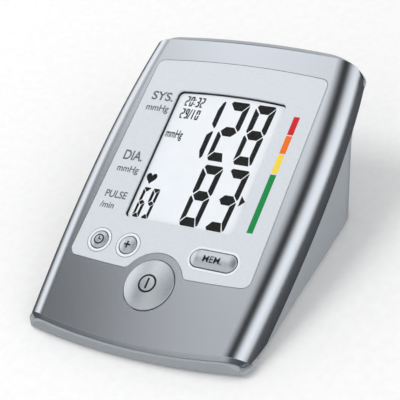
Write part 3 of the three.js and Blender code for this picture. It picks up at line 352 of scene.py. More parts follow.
# %% Grey housing plastic
housing_plastic, tree, shader = new_material("textured_grey_abs", Roughness=0.48, IOR=1.53)
speckled(tree, shader, "#989da3", "#a2a7ac", grain_mm=0.45, bump_mm=0.02, rough=(0.42, 0.54))

panel_print, tree, shader = new_material(
    "hard_coated_panel_print", Roughness=0.35, IOR=1.5, Coat_Weight=0.3, Coat_Roughness=0.2)
speckled(tree, shader, "#cad0d6", "#ced4d9", grain_mm=1.2, rough=(0.34, 0.37))

collar_plastic, tree, shader = new_material("polished_white_collar", Roughness=0.25, IOR=1.5)
speckled(tree, shader, "#dfe4ea", "#e8ecf1", grain_mm=1.0)

# %% [markdown]
# The display is a glass cell with a grey-white polariser, seen through a clear pane. Its segments are
# liquid crystal that has turned black, so they are flat, dark and sharp.

# %% Display materials
lcd_polariser, tree, shader = new_material("lcd_polariser_film", Roughness=0.4, IOR=1.5)
speckled(tree, shader, "#eaeff5", "#f1f4f8", grain_mm=6, contrast=0.3)
lcd_black, tree, shader = new_material(
    "liquid_crystal_segment", Roughness=0.45, IOR=1.5, Specular_IOR_Level=0.25)
speckled(tree, shader, "#0a0b0c", "#121314", grain_mm=1.5)

pane_clear, tree, shader = new_material("clear_acrylic_pane", Roughness=0.04, IOR=1.49, Alpha=0.02)
shader.inputs["Base Color"].default_value = linear("#20242a")
streaks = node(tree, "ShaderNodeTexNoise", "Fac",
               {"Vector": node(tree, "ShaderNodeTexCoord", "Object"), "Scale": 120.0})
tree.links.new(node(tree, "ShaderNodeMapRange", "Result", {"Value": streaks, "To Min": 0.03, "To Max": 0.07}),
               shader.inputs["Roughness"])

# %% [markdown]
# Inks are pad printed or screen printed, with a little unevenness in the film.

# %% Inks
def ink(name, dark, light):
    """A thin, half-matt film of ink between two near tones."""
    material, ink_tree, ink_shader = new_material(name, Roughness=0.45, IOR=1.48, Specular_IOR_Level=0.3)
    speckled(ink_tree, ink_shader, dark, light, grain_mm=0.5)
    return material


# The grey ink also paints the shade of the groove round each small collar.
grey_ink = ink("grey_label_ink_and_groove_shade", "#5a5e64", "#646870")
black_ink = ink("black_key_ink", "#121416", "#1a1c1e")
scale_inks = {
    "red": ink("red_scale_ink", "#c01722", "#cb1f2a"),
    "orange": ink("orange_scale_ink", "#e0660f", "#ea7418"),
    "yellow": ink("yellow_scale_ink", "#e8c93c", "#f0d54c"),
    "green": ink("green_scale_ink", "#087c3d", "#0e8946"),
}

# %% [markdown]
# Materials of the inner and lower parts: moulded black and white plastics, green solder mask over glass
# cloth, silicone tube, rubber feet, zinc-plated and nickel-plated steel, and the printed sleeves of the
# cells.

# %% Materials of the working parts
def simple(name, dark, light, grain_mm, **sockets):
    """A material with a fine grain and a faint bump."""
    material, made_tree, made_shader = new_material(name, **sockets)
    speckled(made_tree, made_shader, dark, light, grain_mm, bump_mm=0.01)
    return material


parts_materials = {
    "white_plastic": simple("moulded_white_abs", "#e2e4e5", "#eceeef", 0.8, Roughness=0.45),
    "black_plastic": simple("moulded_black_nylon", "#222427", "#2b2d30", 0.5, Roughness=0.5),
    "circuit_board": simple("solder_mask_on_glass_epoxy", "#25613e", "#2f7048", 0.3, Roughness=0.35),
    "silicone": simple("extruded_silicone", "#d0d2d3", "#dddfe0", 1.5, Roughness=0.5, Subsurface_Weight=0.1),
    "dark_rubber": simple("matte_moulded_rubber", "#333538", "#3d3f42", 0.4, Roughness=0.85),
    "zinc_steel": simple("zinc_plated_steel", "#aeb2b7", "#c0c3c7", 1.2, Roughness=0.32, Metallic=1.0),
    "nickel_steel": simple(
        "nickel_plated_spring_steel", "#bfbdb6", "#cfcdc6", 0.8, Roughness=0.25, Metallic=1.0),
    "cell_sleeve": simple("printed_shrink_sleeve", "#396a8a", "#457695", 3.0, Roughness=0.35),
    "housing_abs": housing_plastic, "silver_paint": silver_paint, "button_paint": button_paint,
    "panel_print": panel_print, "clear_pane": pane_clear, "lcd_glass": lcd_polariser,
}
for row in frame["record"]["subparts"]:
    cad_mesh = frame["nodes"][row["node"]].data
    cad_mesh.materials.clear()
    cad_mesh.materials.append(parts_materials[row["material_slot"]])
print("materials given to", len(frame["nodes"]), "nodes")

# %% [markdown]
# The top cover is a shallow moulded tray turned upside down. Its long edges roll over with a 10 mm radius,
# its sides bow outwards a little, its front edge bows to the front and its rear edge to the rear. A person
# could start with a box, round its two long edges first while they are straight, and bend the whole only
# then: so the roll keeps the same radius along the curve.

# %% Cover: box with rolled long edges
COVER_HALF, COVER_LENGTH, SKIRT, ROLL = 56.6, 146.3, 10.9, 10.0
COVER_FRONT, COVER_REAR = -0.3, 144.3
FRONT_SIDE_IN, REAR_SIDE_IN = 3.0, 4.8
FRONT_CURVE, REAR_CURVE = 5.8, 3.6
FRONT_BOW = FRONT_CURVE * ((COVER_HALF - FRONT_SIDE_IN) / COVER_HALF) ** 2
REAR_BOW = REAR_CURVE * ((COVER_HALF - REAR_SIDE_IN) / COVER_HALF) ** 2


def rolled_box(name, half, front, rear, roll, deep, steps=14):
    """A box with both long top edges rolled over, and cut across into columns."""
    piece = block(name, (-half, half), (front, rear), (-deep, 0))
    work_on(piece)
    pick(piece, "EDGE", lambda p, e: abs(abs(p.x) - half) < 0.01 and abs(p.z) < 0.01)
    bpy.ops.mesh.bevel(offset=roll * MM, segments=steps, profile=0.5, affect="EDGES")
    beside_roll = half - roll - 0.7
    for x in [-beside_roll, *range(-42, 43, 6), beside_roll]:
        bpy.ops.mesh.select_all(action="SELECT")
        bpy.ops.mesh.bisect(plane_co=(x * MM, 0, 0), plane_no=(1, 0, 0))
    return piece


def bow_end(piece, station, bow, half):
    """Pulls the middle of one end out, and lets the rest follow in a parabola."""
    pick(piece, "VERT", lambda p, v: abs(p.x) < 0.01 and abs(p.y - station) < 0.5)
    bpy.ops.transform.translate(
        value=(0, bow * MM, 0), use_proportional_edit=True,
        proportional_edit_falloff="INVERSE_SQUARE", proportional_size=half * MM)


cover = rolled_box("top_cover_shell", COVER_HALF, FRONT_BOW, COVER_LENGTH - REAR_BOW, ROLL, 16)
bow_end(cover, FRONT_BOW, -FRONT_BOW, COVER_HALF)
bow_end(cover, COVER_LENGTH - REAR_BOW, REAR_BOW, COVER_HALF)
deselect()
ends = [v.co.y / MM for v in cover.data.vertices if abs(v.co.x) < 0.01 * MM]
print("cover length at the middle:", round(max(ends) - min(ends), 2), "mm")

# %% [markdown]
# Now rows are cut along the length, and each row is drawn in at the sides. The flat middle of a row is
# scaled first and then its two rolled sides move in as a whole, so the roll keeps its shape. At the end the
# whole form is pushed a little to the front.

# %% Cover: bowed sides
def row_share(p, length, front_bow, rear_bow, half):
    """How far along its bowed length a point lies, from 0 at the front to 1 at the rear."""
    across = (p.x / half) ** 2
    return (p.y - front_bow * across) / (length - (front_bow + rear_bow) * across)


def add_rows(piece, rows):
    """Cuts the long edges into rows."""
    work_on(piece)
    pick(piece, "EDGE", lambda p, e: abs(e.verts[0].co.y - e.verts[1].co.y) > 60 * MM)
    bpy.ops.mesh.subdivide(number_cuts=rows - 1)


def draw_in(piece, half, straight, length, front_bow, rear_bow, sideways):
    """Draws both sides in by an amount that depends on the share of the length."""
    work_on(piece)
    shape = bmesh.from_edit_mesh(piece.data)
    shares = sorted({round(row_share(v.co / MM, length, front_bow, rear_bow, half), 3)
                     for v in shape.verts if abs(v.co.x) < 0.01 * MM})
    for share in shares:
        amount = sideways(share)

        def on_row(p):
            return abs(row_share(p, length, front_bow, rear_bow, half) - share) < 0.0025

        if pick(piece, "VERT", lambda p, v: abs(p.x) < straight - 0.5 and on_row(p)):
            bpy.ops.transform.resize(value=((straight - amount) / straight, 1, 1), center_override=(0, 0, 0))
        for side in (-1, 1):
            if pick(piece, "VERT", lambda p, v: p.x * side > straight - 0.01 and on_row(p)):
                bpy.ops.transform.translate(value=(-side * amount * MM, 0, 0))
    return len(shares)


def side_bow(share):
    """How far the sides lie inside the widest place, at a share of the length."""
    return (FRONT_SIDE_IN * (1 - share) + REAR_SIDE_IN * share) * (2 * share - 1) ** 2


add_rows(cover, 30)
rows = draw_in(cover, COVER_HALF, COVER_HALF - ROLL, COVER_LENGTH, FRONT_BOW, REAR_BOW, side_bow)
bpy.ops.mesh.select_all(action="SELECT")
bpy.ops.transform.translate(value=(0, COVER_FRONT * MM, 0))
deselect()
closed_form = copy_of(cover, "closed_form")
print("rows:", rows, "widest:", round(cover.dimensions.x / MM, 2), "mm")

# %% [markdown]
# The front edge carries a flat chamfer, bevelled while the form is still closed. Its edges are found by the
# faces that meet there: an end face looks along Y, the others don't. The rear end is cut to its curve by a
# plate with the plan of the case, whose two corners are bevelled round first. So the rolled edges run
# straight into the corners. Two bisections end the skirt: one along the face, and one level, 3.5 mm above
# the table. At the rear a block cuts the skirt a little shorter, because there the rim of the housing
# stands behind it.

# %% Cover: front chamfer, rear corners and skirt
CHAMFER = 1.65
SKIRT_LEVEL = 3.5


def end_edges(side, limit=0.96):
    """A test for the edges where an end face meets the top or a side."""
    def test(p, edge):
        facing = [face.normal.y * side > limit for face in edge.link_faces]
        return len(facing) == 2 and facing[0] != facing[1] and p.z > -15.9
    return test


def plan_plate(name, beside, behind, corner, low, high):
    """A plate with the plan of the rear end and two round corners, grown beside and behind the case."""
    def rear_edge(x):
        return COVER_REAR + behind - 3.0 * (x / COVER_HALF) ** 2

    side = 51.83 + beside
    rear_line = [(side * i / 20, rear_edge(side * i / 20)) for i in range(20, -21, -1)]
    outline = [(-62, -20), (62, -20), (60 + beside, 83)] + rear_line + [(-60 - beside, 83)]
    piece = plate(name, outline, low, high)
    work_on(piece)
    pick(piece, "EDGE", lambda p, e: abs(abs(p.x) - side) < 0.01 and abs(p.z - (low + high) / 2) < 1)
    bpy.ops.mesh.bevel(offset=corner * MM, segments=12, profile=0.5, affect="EDGES")
    deselect()
    return piece


work_on(cover)
print("front edges:", pick(cover, "EDGE", end_edges(-1)))
bpy.ops.mesh.bevel(offset=CHAMFER * MM, segments=1, affect="EDGES")
carve(cover, plan_plate("plan", 0, 0, 8.0, -40, 10), "INTERSECT")
work_on(cover)
bpy.ops.mesh.select_all(action="SELECT")
bpy.ops.mesh.bisect(plane_co=(0, 0, -SKIRT * MM), plane_no=(0, 0, 1), clear_inner=True, use_fill=True)
bpy.ops.mesh.select_all(action="SELECT")
skirt_end = (SKIRT_LEVEL * MM - FACE_START.z) / math.cos(FACE_TILT)
bpy.ops.mesh.bisect(plane_co=(0, 0, skirt_end), plane_no=(0, math.sin(FACE_TILT), math.cos(FACE_TILT)),
                    clear_inner=True, use_fill=True)
carve(cover, block("rear_step", (-80, 80), (137, 160), (-30, -9.5)))
round_edges(cover, 0.22, 2, 33)

# %% [markdown]
# The hollow is the same form drawn a wall's thickness smaller at the sides, the top and the rear. It runs
# on past the front. Right at the front the cover is only as thick as its chamfer, because there the lip of
# the housing comes up.

# %% Cover: wall
WALL, RUN_ON = 2.4, 12


def smaller_form(wall):
    """The closed form drawn smaller by a wall, and run on past the front."""
    inner = copy_of(closed_form, "smaller_form")
    work_on(inner)
    bpy.ops.mesh.select_all(action="SELECT")
    bpy.ops.transform.translate(value=(0, -COVER_FRONT * MM, 0))
    stretch = (COVER_REAR - wall + RUN_ON) / COVER_LENGTH
    bpy.ops.transform.resize(value=((COVER_HALF - wall) / COVER_HALF, stretch, 1), center_override=(0, 0, 0))
    bpy.ops.transform.translate(value=(0, -RUN_ON * MM, -wall * MM))
    deselect()
    return inner


def behind_front(name, shift, low, high):
    """A plate in front of a line that follows the bow of the front edge."""
    line = [(x, shift + FRONT_CURVE * (x / COVER_HALF) ** 2) for x in range(70, -71, -5)]
    return plate(name, [(-70, -20), (70, -20)] + line, low, high)


carve(cover, smaller_form(WALL))
carve(cover, carve(smaller_form(CHAMFER + 0.1), behind_front("front_zone", 0.3, -30, 12), "INTERSECT"))
print("cover with its hollow:", len(cover.data.polygons), "faces")

# %% [markdown]
# The printed panel sits in a shallow pocket of the cover. Its outline narrows a little to the rear, its
# rear edge bows like the case, and its front edge steps back round the start key in an arc with two rounded
# shoulders. The same outline, grown a little, cuts the pocket.

# %% Panel outline
PANEL_HALF, PANEL_FRONT, PANEL_REAR = 43.0, 32.5, 133.7
START = (0.0, 27.1)


def panel_outline(grow=0.0):
    """The panel's outline, with the arc round the start key."""
    points = rounded(-PANEL_HALF - grow, PANEL_HALF + grow, PANEL_FRONT - grow, PANEL_REAR + grow,
                     3.5 + grow, bow=2.2, across=24)
    edge = PANEL_FRONT - grow + 0.17
    shoulder, around = 3.0 + grow, 14.8 - grow
    height = edge + shoulder - START[1]
    reach = math.sqrt((around + shoulder) ** 2 - height ** 2)
    lean = math.degrees(math.atan2(height, reach))
    points += [(-PANEL_HALF + 6 + (PANEL_HALF - 6 - reach) * i / 8, PANEL_FRONT - grow) for i in range(8)]
    notch = arc((-reach, START[1] + height), shoulder, -90, -lean, 8)
    notch += arc(START, around, 180 - lean, lean, 36)[1:-1]
    notch += arc((reach, START[1] + height), shoulder, 180 + lean, 270, 8)
    notch += [(reach + (PANEL_HALF - 6 - reach) * i / 8, PANEL_FRONT - grow) for i in range(1, 9)]
    shaped = []
    for x, y in points:
        share = min(max((y - PANEL_FRONT) / (PANEL_REAR - PANEL_FRONT), 0), 1)
        shaped.append((x * (1 + 0.021 * (1 - 2 * share)), y + 1.6 * (1 - share) * (x / PANEL_HALF) ** 2))
    for x, y in notch:
        if abs(x) > reach:
            x, y = x * 1.021, y + 1.6 * (x ** 2 - reach ** 2) / PANEL_HALF ** 2 + 0.17
        shaped.append((x, y))
    return shaped


DISPLAY_LEFT, DISPLAY_RIGHT, DISPLAY_FRONT, DISPLAY_REAR = -25.8, 27.7, 55.1, 118.9


def display_outline(inside=0.0):
    """The display's opening, or the same outline a little further inside."""
    return rounded(DISPLAY_LEFT + inside, DISPLAY_RIGHT - inside, DISPLAY_FRONT + inside,
                   DISPLAY_REAR - inside, 2.5 - inside, bow=1.2, across=16)


SMALL_KEYS = {"clock": (-32.0, 42.4), "plus": (-17.5, 42.4)}
MEMORY = (24.1, 42.8)
START_RADIUS, SMALL_RADIUS, KEY_PLAY = 11.3, 3.9, 0.35
MEMORY_LENGTH, MEMORY_WIDTH = 21.4, 7.8
print("panel outline points:", len(panel_outline()))

# %% [markdown]
# Every opening is cut the way a mould insert would leave it: straight through the wall, with a third of a
# millimetre of play round each key.

# %% Cover: pocket and openings
def cut_small_keys(piece, low, high):
    """Cuts the openings of the three keys that stand in the panel."""
    for name, place in SMALL_KEYS.items():
        carve(piece, plate(name + "_cutter", circle(place, SMALL_RADIUS + KEY_PLAY, 72), low, high))
    carve(piece, plate("memory_cutter", pill(MEMORY, MEMORY_LENGTH, MEMORY_WIDTH, KEY_PLAY), low, high))


carve(cover, plate("pocket_cutter", panel_outline(0.25), -1.1, 3))
carve(cover, plate("display_cutter", display_outline(), -20, 3))
carve(cover, plate("start_cutter", circle(START, START_RADIUS + KEY_PLAY, 96), -20, 3))
cut_small_keys(cover, -20, 3)
set_on_face(cover)
smooth(cover, 30)
finished(cover, silver_paint, "case", ["top_cover"])

# %% [markdown]
# The panel is a moulded plate with a printed, hard-coated face. It stands a hair above the cover, and its
# edge is rounded, which shows as a fine bright line all round.

# %% Printed panel
PANEL_TOP = 0.15
panel = plate("printed_panel", panel_outline(), -0.8, PANEL_TOP)
carve(panel, plate("display_cutter", display_outline(), -3, 3))
cut_small_keys(panel, -3, 3)
round_edges(panel, 0.3, 3, 50)
smooth(set_on_face(panel), 35)
finished(panel, panel_print, "case", ["fascia_panel"])

# %% [markdown]
# Round each small key lies a polished collar: a low ring with a rounded top. It is turned from a small
# half-round profile. The long key's collar is the same ring with its two halves drawn apart.

# %% Collars
MEMORY_REACH = MEMORY_LENGTH - MEMORY_WIDTH


def pull_apart(piece, centre, distance):
    """Moves the right half of a piece away from the left half."""
    work_on(piece)
    for side in (-1, 1):
        pick(piece, "VERT", lambda p, v: (p.x - centre[0]) * side > 0.001)
        bpy.ops.transform.translate(value=(side * distance / 2 * MM, 0, 0))
    deselect()
    return piece


def collar_profile(inner, outer, low=0.0, high=0.42):
    """A ring's section: upright walls under a half-round top."""
    middle, half = (inner + outer) / 2, (outer - inner) / 2
    crown = [(middle + half * math.cos(t * math.pi / 8), high - 0.25 + 0.25 * math.sin(t * math.pi / 8))
             for t in range(8, -1, -1)]
    return [(inner, low)] + crown + [(outer, low), (inner, low)]


collars = [turned("collar", collar_profile(4.3, 5.5), place) for place in SMALL_KEYS.values()]
collars.append(pull_apart(turned("collar", collar_profile(4.3, 5.3), MEMORY), MEMORY, MEMORY_REACH))
collar = join("key_collars", collars)
smooth(set_on_face(collar), 40)
finished(collar, collar_plastic, "case")

# %% [markdown]
# The keys are moulded caps with a crowned top. Below the cover each has a flange that keeps it in and a
# stem that stands over its switch. Each profile is spun round once. The long key is a round one with its
# halves drawn apart.

# %% Keys
STEM_END, FLANGE_LOW, FLANGE_TOP = -4.3, -3.7, -2.7
STEM_RADIUS, FLANGE_REACH = 1.8, 1.2


def key_profile(radius, crown, top=0.6, edge=0.45, steps=10):
    """Radius and height of a key, from the stem's end up to the middle of its gently crowned top."""
    flange = radius + FLANGE_REACH
    inner = radius - edge
    points = [(0, STEM_END), (STEM_RADIUS, STEM_END), (STEM_RADIUS, FLANGE_LOW),
              (flange, FLANGE_LOW), (flange, FLANGE_TOP), (radius, FLANGE_TOP)]
    for turn in (t * math.pi / 10 for t in range(5)):
        points.append((inner + edge * math.cos(turn), top - edge + edge * math.sin(turn)))
    for share in (i / steps for i in range(steps + 1)):
        points.append((inner * (1 - share), top + crown * (1 - (1 - share) ** 2)))
    return points


start_key = turned("start_key", key_profile(START_RADIUS, 1.45), START, 96)
clock_key = turned("clock_key", key_profile(SMALL_RADIUS, 0.6, 0.45, 0.35), SMALL_KEYS["clock"])
plus_key = turned("plus_key", key_profile(SMALL_RADIUS, 0.6, 0.45, 0.35), SMALL_KEYS["plus"])
memory_key = pull_apart(turned("memory_key", key_profile(SMALL_RADIUS, 0.75), MEMORY), MEMORY, MEMORY_REACH)

# %% [markdown]
# The signs on the keys are pad printed on the crowned tops. A sign starts flat, is cut into a fine grid,
# and the Shrinkwrap modifier lays it on the key with two hundredths of a millimetre to spare.

# %% Signs on the keys
SIGN_LEVEL = 3


def limits(piece):
    """The lowest and the highest X and Y of a flat piece."""
    low = [min(v.co[i] for v in piece.data.vertices) for i in (0, 1)]
    high = [max(v.co[i] for v in piece.data.vertices) for i in (0, 1)]
    return low, high


def lay_on(sign, key, pitch=0.35):
    """Lays a flat sign on the crowned top of a key."""
    low, high = limits(sign)
    work_on(sign)
    for axis, normal in ((0, (1, 0, 0)), (1, (0, 1, 0))):
        cuts = int((high[axis] - low[axis]) / (pitch * MM))
        for i in range(1, cuts + 1):
            spot = [0, 0, 0]
            spot[axis] = low[axis] + i * pitch * MM
            bpy.ops.mesh.select_all(action="SELECT")
            bpy.ops.mesh.bisect(plane_co=spot, plane_no=normal)
    deselect()
    return apply_modifier(sign, "SHRINKWRAP", target=key, wrap_method="PROJECT", use_project_z=True,
                          use_negative_direction=True, use_positive_direction=False, offset=0.02 * MM)


def flat_sign(name, outline, level):
    """One flat face with a drawn outline."""
    piece = outlined_face(name, outline, level)
    bpy.ops.mesh.normals_make_consistent(inside=False)
    shape = bmesh.from_edit_mesh(piece.data)
    shape.faces.ensure_lookup_table()
    if shape.faces[0].normal.z < 0:
        bpy.ops.mesh.flip_normals()
    deselect()
    return piece


def bar_sign(name, x, y):
    """A flat bar between two limits along each axis."""
    return flat_sign(name, [(x[0], y[0]), (x[1], y[0]), (x[1], y[1]), (x[0], y[1])], SIGN_LEVEL)


def ring_sign(name, centre, outer, inner, level, steps=64):
    """A flat ring: a disc, inset by the width of its line, with the middle taken out."""
    sign = flat_sign(name, circle(centre, outer, steps), level)
    work_on(sign)
    bpy.ops.mesh.select_all(action="SELECT")
    bpy.ops.mesh.inset(thickness=(outer - inner) * MM)
    bpy.ops.mesh.delete(type="FACE")
    deselect()
    return sign


def words(name, text, x, y, level, weight=0.0):
    """Lettering made a mesh and fitted to a box of x and y limits."""
    deselect()
    bpy.ops.object.text_add()
    piece = bpy.context.object
    piece.name = name
    piece.data.body = text
    piece.data.size = 5 * MM
    piece.data.offset = weight * MM
    bpy.ops.object.convert(target="MESH")
    piece = bpy.context.object
    low, high = limits(piece)
    wider = (x[1] - x[0]) * MM / (high[0] - low[0])
    taller = (y[1] - y[0]) * MM / (high[1] - low[1])
    work_on(piece)
    bpy.ops.mesh.select_all(action="SELECT")
    bpy.ops.transform.translate(value=(-low[0], -low[1], 0))
    bpy.ops.transform.resize(value=(wider, taller, 1), center_override=(0, 0, 0))
    bpy.ops.transform.translate(value=(x[0] * MM, y[0] * MM, level * MM))
    deselect()
    return piece


x, y = START
start_sign = join("start_sign", [
    ring_sign("ring", START, 4.15, 3.3, SIGN_LEVEL),
    bar_sign("bar", (x - 0.45, x + 0.45), (y - 2.4, y + 2.4))])
x, y = SMALL_KEYS["clock"]
clock_sign = join("clock_sign", [
    ring_sign("ring", (x, y), 2.35, 1.75, SIGN_LEVEL, 48),
    bar_sign("long_hand", (x - 0.25, x + 0.25), (y - 0.25, y + 1.4)),
    bar_sign("short_hand", (x, x + 1.15), (y - 0.25, y + 0.25))])
x, y = SMALL_KEYS["plus"]
plus_sign = join("plus_sign", [
    bar_sign("bar", (x - 1.55, x + 1.55), (y - 0.38, y + 0.38)),
    bar_sign("post", (x - 0.38, x + 0.38), (y - 1.55, y + 1.55))])
memory_sign = words("memory_sign", "MEM.", (19.6, 28.4), (41.3, 44.3), SIGN_LEVEL, weight=0.05)

for key, sign, body in ((start_key, start_sign, "start_button"), (clock_key, clock_sign, "clock_button"),
                        (plus_key, plus_sign, "plus_button"), (memory_key, memory_sign, "memory_button")):
    lay_on(sign, key)
    smooth(set_on_face(key), 40)
    finished(key, button_paint, body, [body])
    finished(set_on_face(sign), black_ink, body)

# %% [markdown]
# The display is a pane of clear acrylic with a raised window that fills the opening, and under it the glass
# cell. A narrow gap is left all round, which shows as the thin dark line at the edge of the display.

# %% Display: pane and cell
pane = plate("display_pane", display_outline(-2), -3.9, -2.7)
carve(pane, plate("window", display_outline(0.1), -2.8, -0.9), "UNION")
carve(pane, plate("room", display_outline(0.3), -5, -1.3))
finished(smooth(set_on_face(pane), 30), pane_clear, "case", ["display_window"])
cell = plate("lcd_cell", display_outline(0.38), -6.0, -1.6)
finished(smooth(set_on_face(round_edges(cell, 0.1, 2, 50)), 30), lcd_polariser, "case", ["lcd_glass"])

# %% [markdown]
# The display shows a full reading. Each figure is built from seven separate segments, as the electrodes are
# etched: slanted ends, narrow gaps between them, and a lean of half a millimetre over the height.

# %% Segments of the figures
def segment_outlines(w, h, v, t):
    """The seven segments of a figure w wide and h high, with upright strokes v and level strokes t thick."""
    return {
        "a": [(0.10 * w, h - 0.27 * t), (0.17 * w, h), (0.90 * w, h), (0.965 * w, h - 0.17 * t),
              (w - 1.15 * v, h - t), (1.4 * v, h - t)],
        "b": [(w - 1.05 * v, h - 1.07 * t), (0.985 * w, h - 0.26 * t), (w, h - 0.46 * t),
              (0.965 * w, 0.55 * h), (0.91 * w, 0.515 * h), (w - 1.15 * v, 0.59 * h)],
        "c": [(w - 1.2 * v, 0.412 * h), (0.9 * w, 0.4845 * h), (0.945 * w, 0.46 * h), (0.9 * w, 0.041 * h),
              (0.83 * w, 0.014 * h), (w - 1.3 * v, 0.98 * t)],
        "d": [(0.03 * w, 0.32 * t), (0.12 * w, 0), (0.79 * w, 0), (w - 1.45 * v, t), (0.95 * v, t)],
        "e": [(0, 0.44 * t), (0.87 * v, 1.12 * t), (0.98 * v, 0.412 * h), (0.06 * w, 0.4845 * h),
              (0.015 * w, 0.457 * h)],
        "f": [(0.045 * w, h - 0.41 * t), (1.23 * v, h - 1.07 * t), (1.125 * v, 0.595 * h),
              (0.1 * w, 0.519 * h), (0.035 * w, 0.55 * h)],
        "g": [(0.12 * w, 0.498 * h), (1.25 * v, 0.5 * h + 0.53 * t), (w - 1.25 * v, 0.5 * h + 0.53 * t),
              (0.88 * w, 0.498 * h), (w - 1.33 * v, 0.5 * h - 0.55 * t), (1.17 * v, 0.5 * h - 0.55 * t)],
        "upper": [(0.98 * v, 0.985 * h), (1.215 * v, 0.96 * h), (1.1 * v, 0.545 * h), (0.9 * v, 0.52 * h),
                  (0.2 * v, 0.59 * h), (0.235 * v, 0.832 * h), (0.685 * v, 0.955 * h)],
        "lower": [(0.84 * v, 0.476 * h), (1.06 * v, 0.455 * h), (0.98 * v, 0.048 * h), (0.7 * v, 0.007 * h),
                  (0.51 * v, 0.017 * h), (0.02 * v, 0.128 * h), (0.04 * v, 0.404 * h)],
    }


FIGURES = {"0": "abcdef", "2": "abged", "3": "abgcd", "6": "afgedc", "8": "abcdefg", "9": "abcdfg"}
LARGE, SMALL, TINY = (10.25, 29.2, 2.55, 4.2), (3.75, 14.4, 1.3, 2.0), (1.95, 4.9, 0.66, 0.8)
LCD_TOP = -1.6 + 0.02


def placed(outline, left, bottom):
    """An outline moved to its place on the display."""
    return [(left + px, bottom + py) for px, py in outline]


def figure(character, left, bottom, sizes):
    """The segments of one figure, built flat at its place on the display."""
    outlines = segment_outlines(*sizes)
    parts = ("upper", "lower") if character == "1" else FIGURES[character]
    return [flat_sign("segment", placed(outlines[part], left, bottom), LCD_TOP) for part in parts]


segments = []
for row, lefts, bottom, sizes in (
        ("128", (-4.86, -0.11, 12.64), 87.5, LARGE), ("83", (-0.11, 12.64), 56.25, LARGE),
        ("69", (-23.2, -18.6), 56.15, SMALL)):
    for character, left in zip(row, lefts):
        segments += figure(character, left, bottom, sizes)

# %% [markdown]
# Above the small figure stand the time and the date in tiny figures. At that size the stroke, the figure
# one and the dots between the hours and the minutes are single segments.

# %% Time and date
TINY_STROKES = {
    "/": [(-0.35, 0), (0.15, 0), (0.95, 4.9), (0.45, 4.9)],
    "1": [(0.5, 0.2), (1.1, 0), (1.25, 4.9), (0.65, 4.7)],
}
for row, bottom in (("20:32", 111.5), ("29/10", 105.3)):
    for character, left in zip(row, (-21.6, -19.4, -17.2, -16.15, -14.0)):
        if character == ":":
            for rise in (1.2, 3.4):
                dot = arc((left + 0.25, bottom + rise), 0.36, 0, 315, 7)
                segments.append(flat_sign("dot", dot, LCD_TOP))
        elif character in TINY_STROKES:
            stroke = placed(TINY_STROKES[character], left, bottom)
            segments.append(flat_sign("stroke", stroke, LCD_TOP))
        else:
            segments += figure(character, left, bottom, TINY)
print("segments:", len(segments))

# %% [markdown]
# Beside the figures stand a heart for the pulse, a pointer to the colour scale and the unit. The heart's
# outline comes from a sine and cosine curve, drawn with 40 points.

# %% Heart, pointer and unit
def heart_outline(middle, width, height, steps=40):
    """A heart fitted to a width and a height."""
    points = []
    for i in range(steps):
        t = 2 * math.pi * i / steps
        px = math.sin(t) ** 3
        py = (13 * math.cos(t) - 5 * math.cos(2 * t) - 2 * math.cos(3 * t) - math.cos(4 * t)) / 14.5
        points.append((middle[0] + px * width / 2, middle[1] + (py + 0.09) * height / 2))
    return points[::-1]


segments.append(flat_sign("heart", heart_outline((-21.75, 74.85), 5.2, 5.5), LCD_TOP))
segments.append(flat_sign("pointer", [(23.5, 68.85), (26.0, 71.4), (23.5, 73.95)], LCD_TOP))
segments.append(words("unit", "mmHg", (-24.3, -15.9), (94.2, 99.4), LCD_TOP, weight=0.1))
reading = join("display_reading", segments)
finished(set_on_face(reading), lcd_black, "case")

# %% [markdown]
# The panel's print: the names of the three values with their units, and the colour scale beside the display
# that goes from green to red. A thin grey ring round each small key's collar is painted shade for the groove.

# %% Labels, colour scale and painted groove shade
PRINT_LEVEL = PANEL_TOP + 0.015
labels_and_groove_shade = [words("label", text, x, y, PRINT_LEVEL, weight=0.1) for text, x, y in (
    ("SYS.", (-37.9, -26.9), (111.5, 115.9)), ("mmHg", (-38.4, -26.9), (105.2, 109.4)),
    ("DIA.", (-38.6, -28.9), (80.9, 85.7)), ("mmHg", (-39.1, -28.1), (74.2, 78.3)),
    ("PULSE", (-39.2, -28.4), (62.3, 65.8)), ("/min", (-39.5, -32.4), (57.2, 60.2)))]
# A thin grey ink ring round each small collar is painted shade, standing in for the groove's shadow.
labels_and_groove_shade += [ring_sign("painted_groove_shade", place, 5.75, 5.5, PRINT_LEVEL) for place in SMALL_KEYS.values()]
finished(set_on_face(join("panel_labels_and_groove_shade", labels_and_groove_shade)), grey_ink, "case")

SCALE_LEFT, SCALE_RIGHT = 33.15, 35.95
for colour, low, high in (("green", 57.5, 84.8), ("yellow", 85.3, 94.3), ("orange", 94.8, 103.3),
                          ("red", 103.8, 112.5)):
    outline = rounded(SCALE_LEFT, SCALE_RIGHT, low, high, 0.15, steps=2)
    bar = flat_sign("scale_" + colour, outline, PRINT_LEVEL)
    finished(set_on_face(bar), scale_inks[colour], "case")

# %% [markdown]
# The lower housing starts from the CAD solid. Its doubled points are merged and it is shaded smooth.

# %% Lower housing
def from_cad(name, source):
    """A merged copy of a CAD node's mesh, in world place."""
    origin = frame["nodes"][source]
    twin = copy_of(origin, name)
    twin.parent = None
    twin.matrix_world = origin.matrix_world
    twin.hide_render = twin.hide_viewport = False
    work_on(twin, "OBJECT")
    bpy.ops.object.transform_apply(location=True, rotation=True, scale=True)
    work_on(twin)
    bpy.ops.mesh.select_all(action="SELECT")
    bpy.ops.mesh.remove_doubles(threshold=0.01 * MM)
    bpy.ops.mesh.dissolve_limited(angle_limit=math.radians(0.5))
    deselect()
    return twin


housing = from_cad("housing_shell", "lower_housing")

# %% [markdown]
# The rim of the real housing shows only behind the cover and in front of it. So at the sides it is trimmed
# back under the skirt of the cover, along a line that follows the bowed side, and a plain block does the
# same beside each front corner. At the rear it is cut to the plan of the case, and at the front its lip is
# cut along the chamfer of the cover. The corners at the front are rounded in plan, and the lower edge of
# the lip gets a small chamfer.

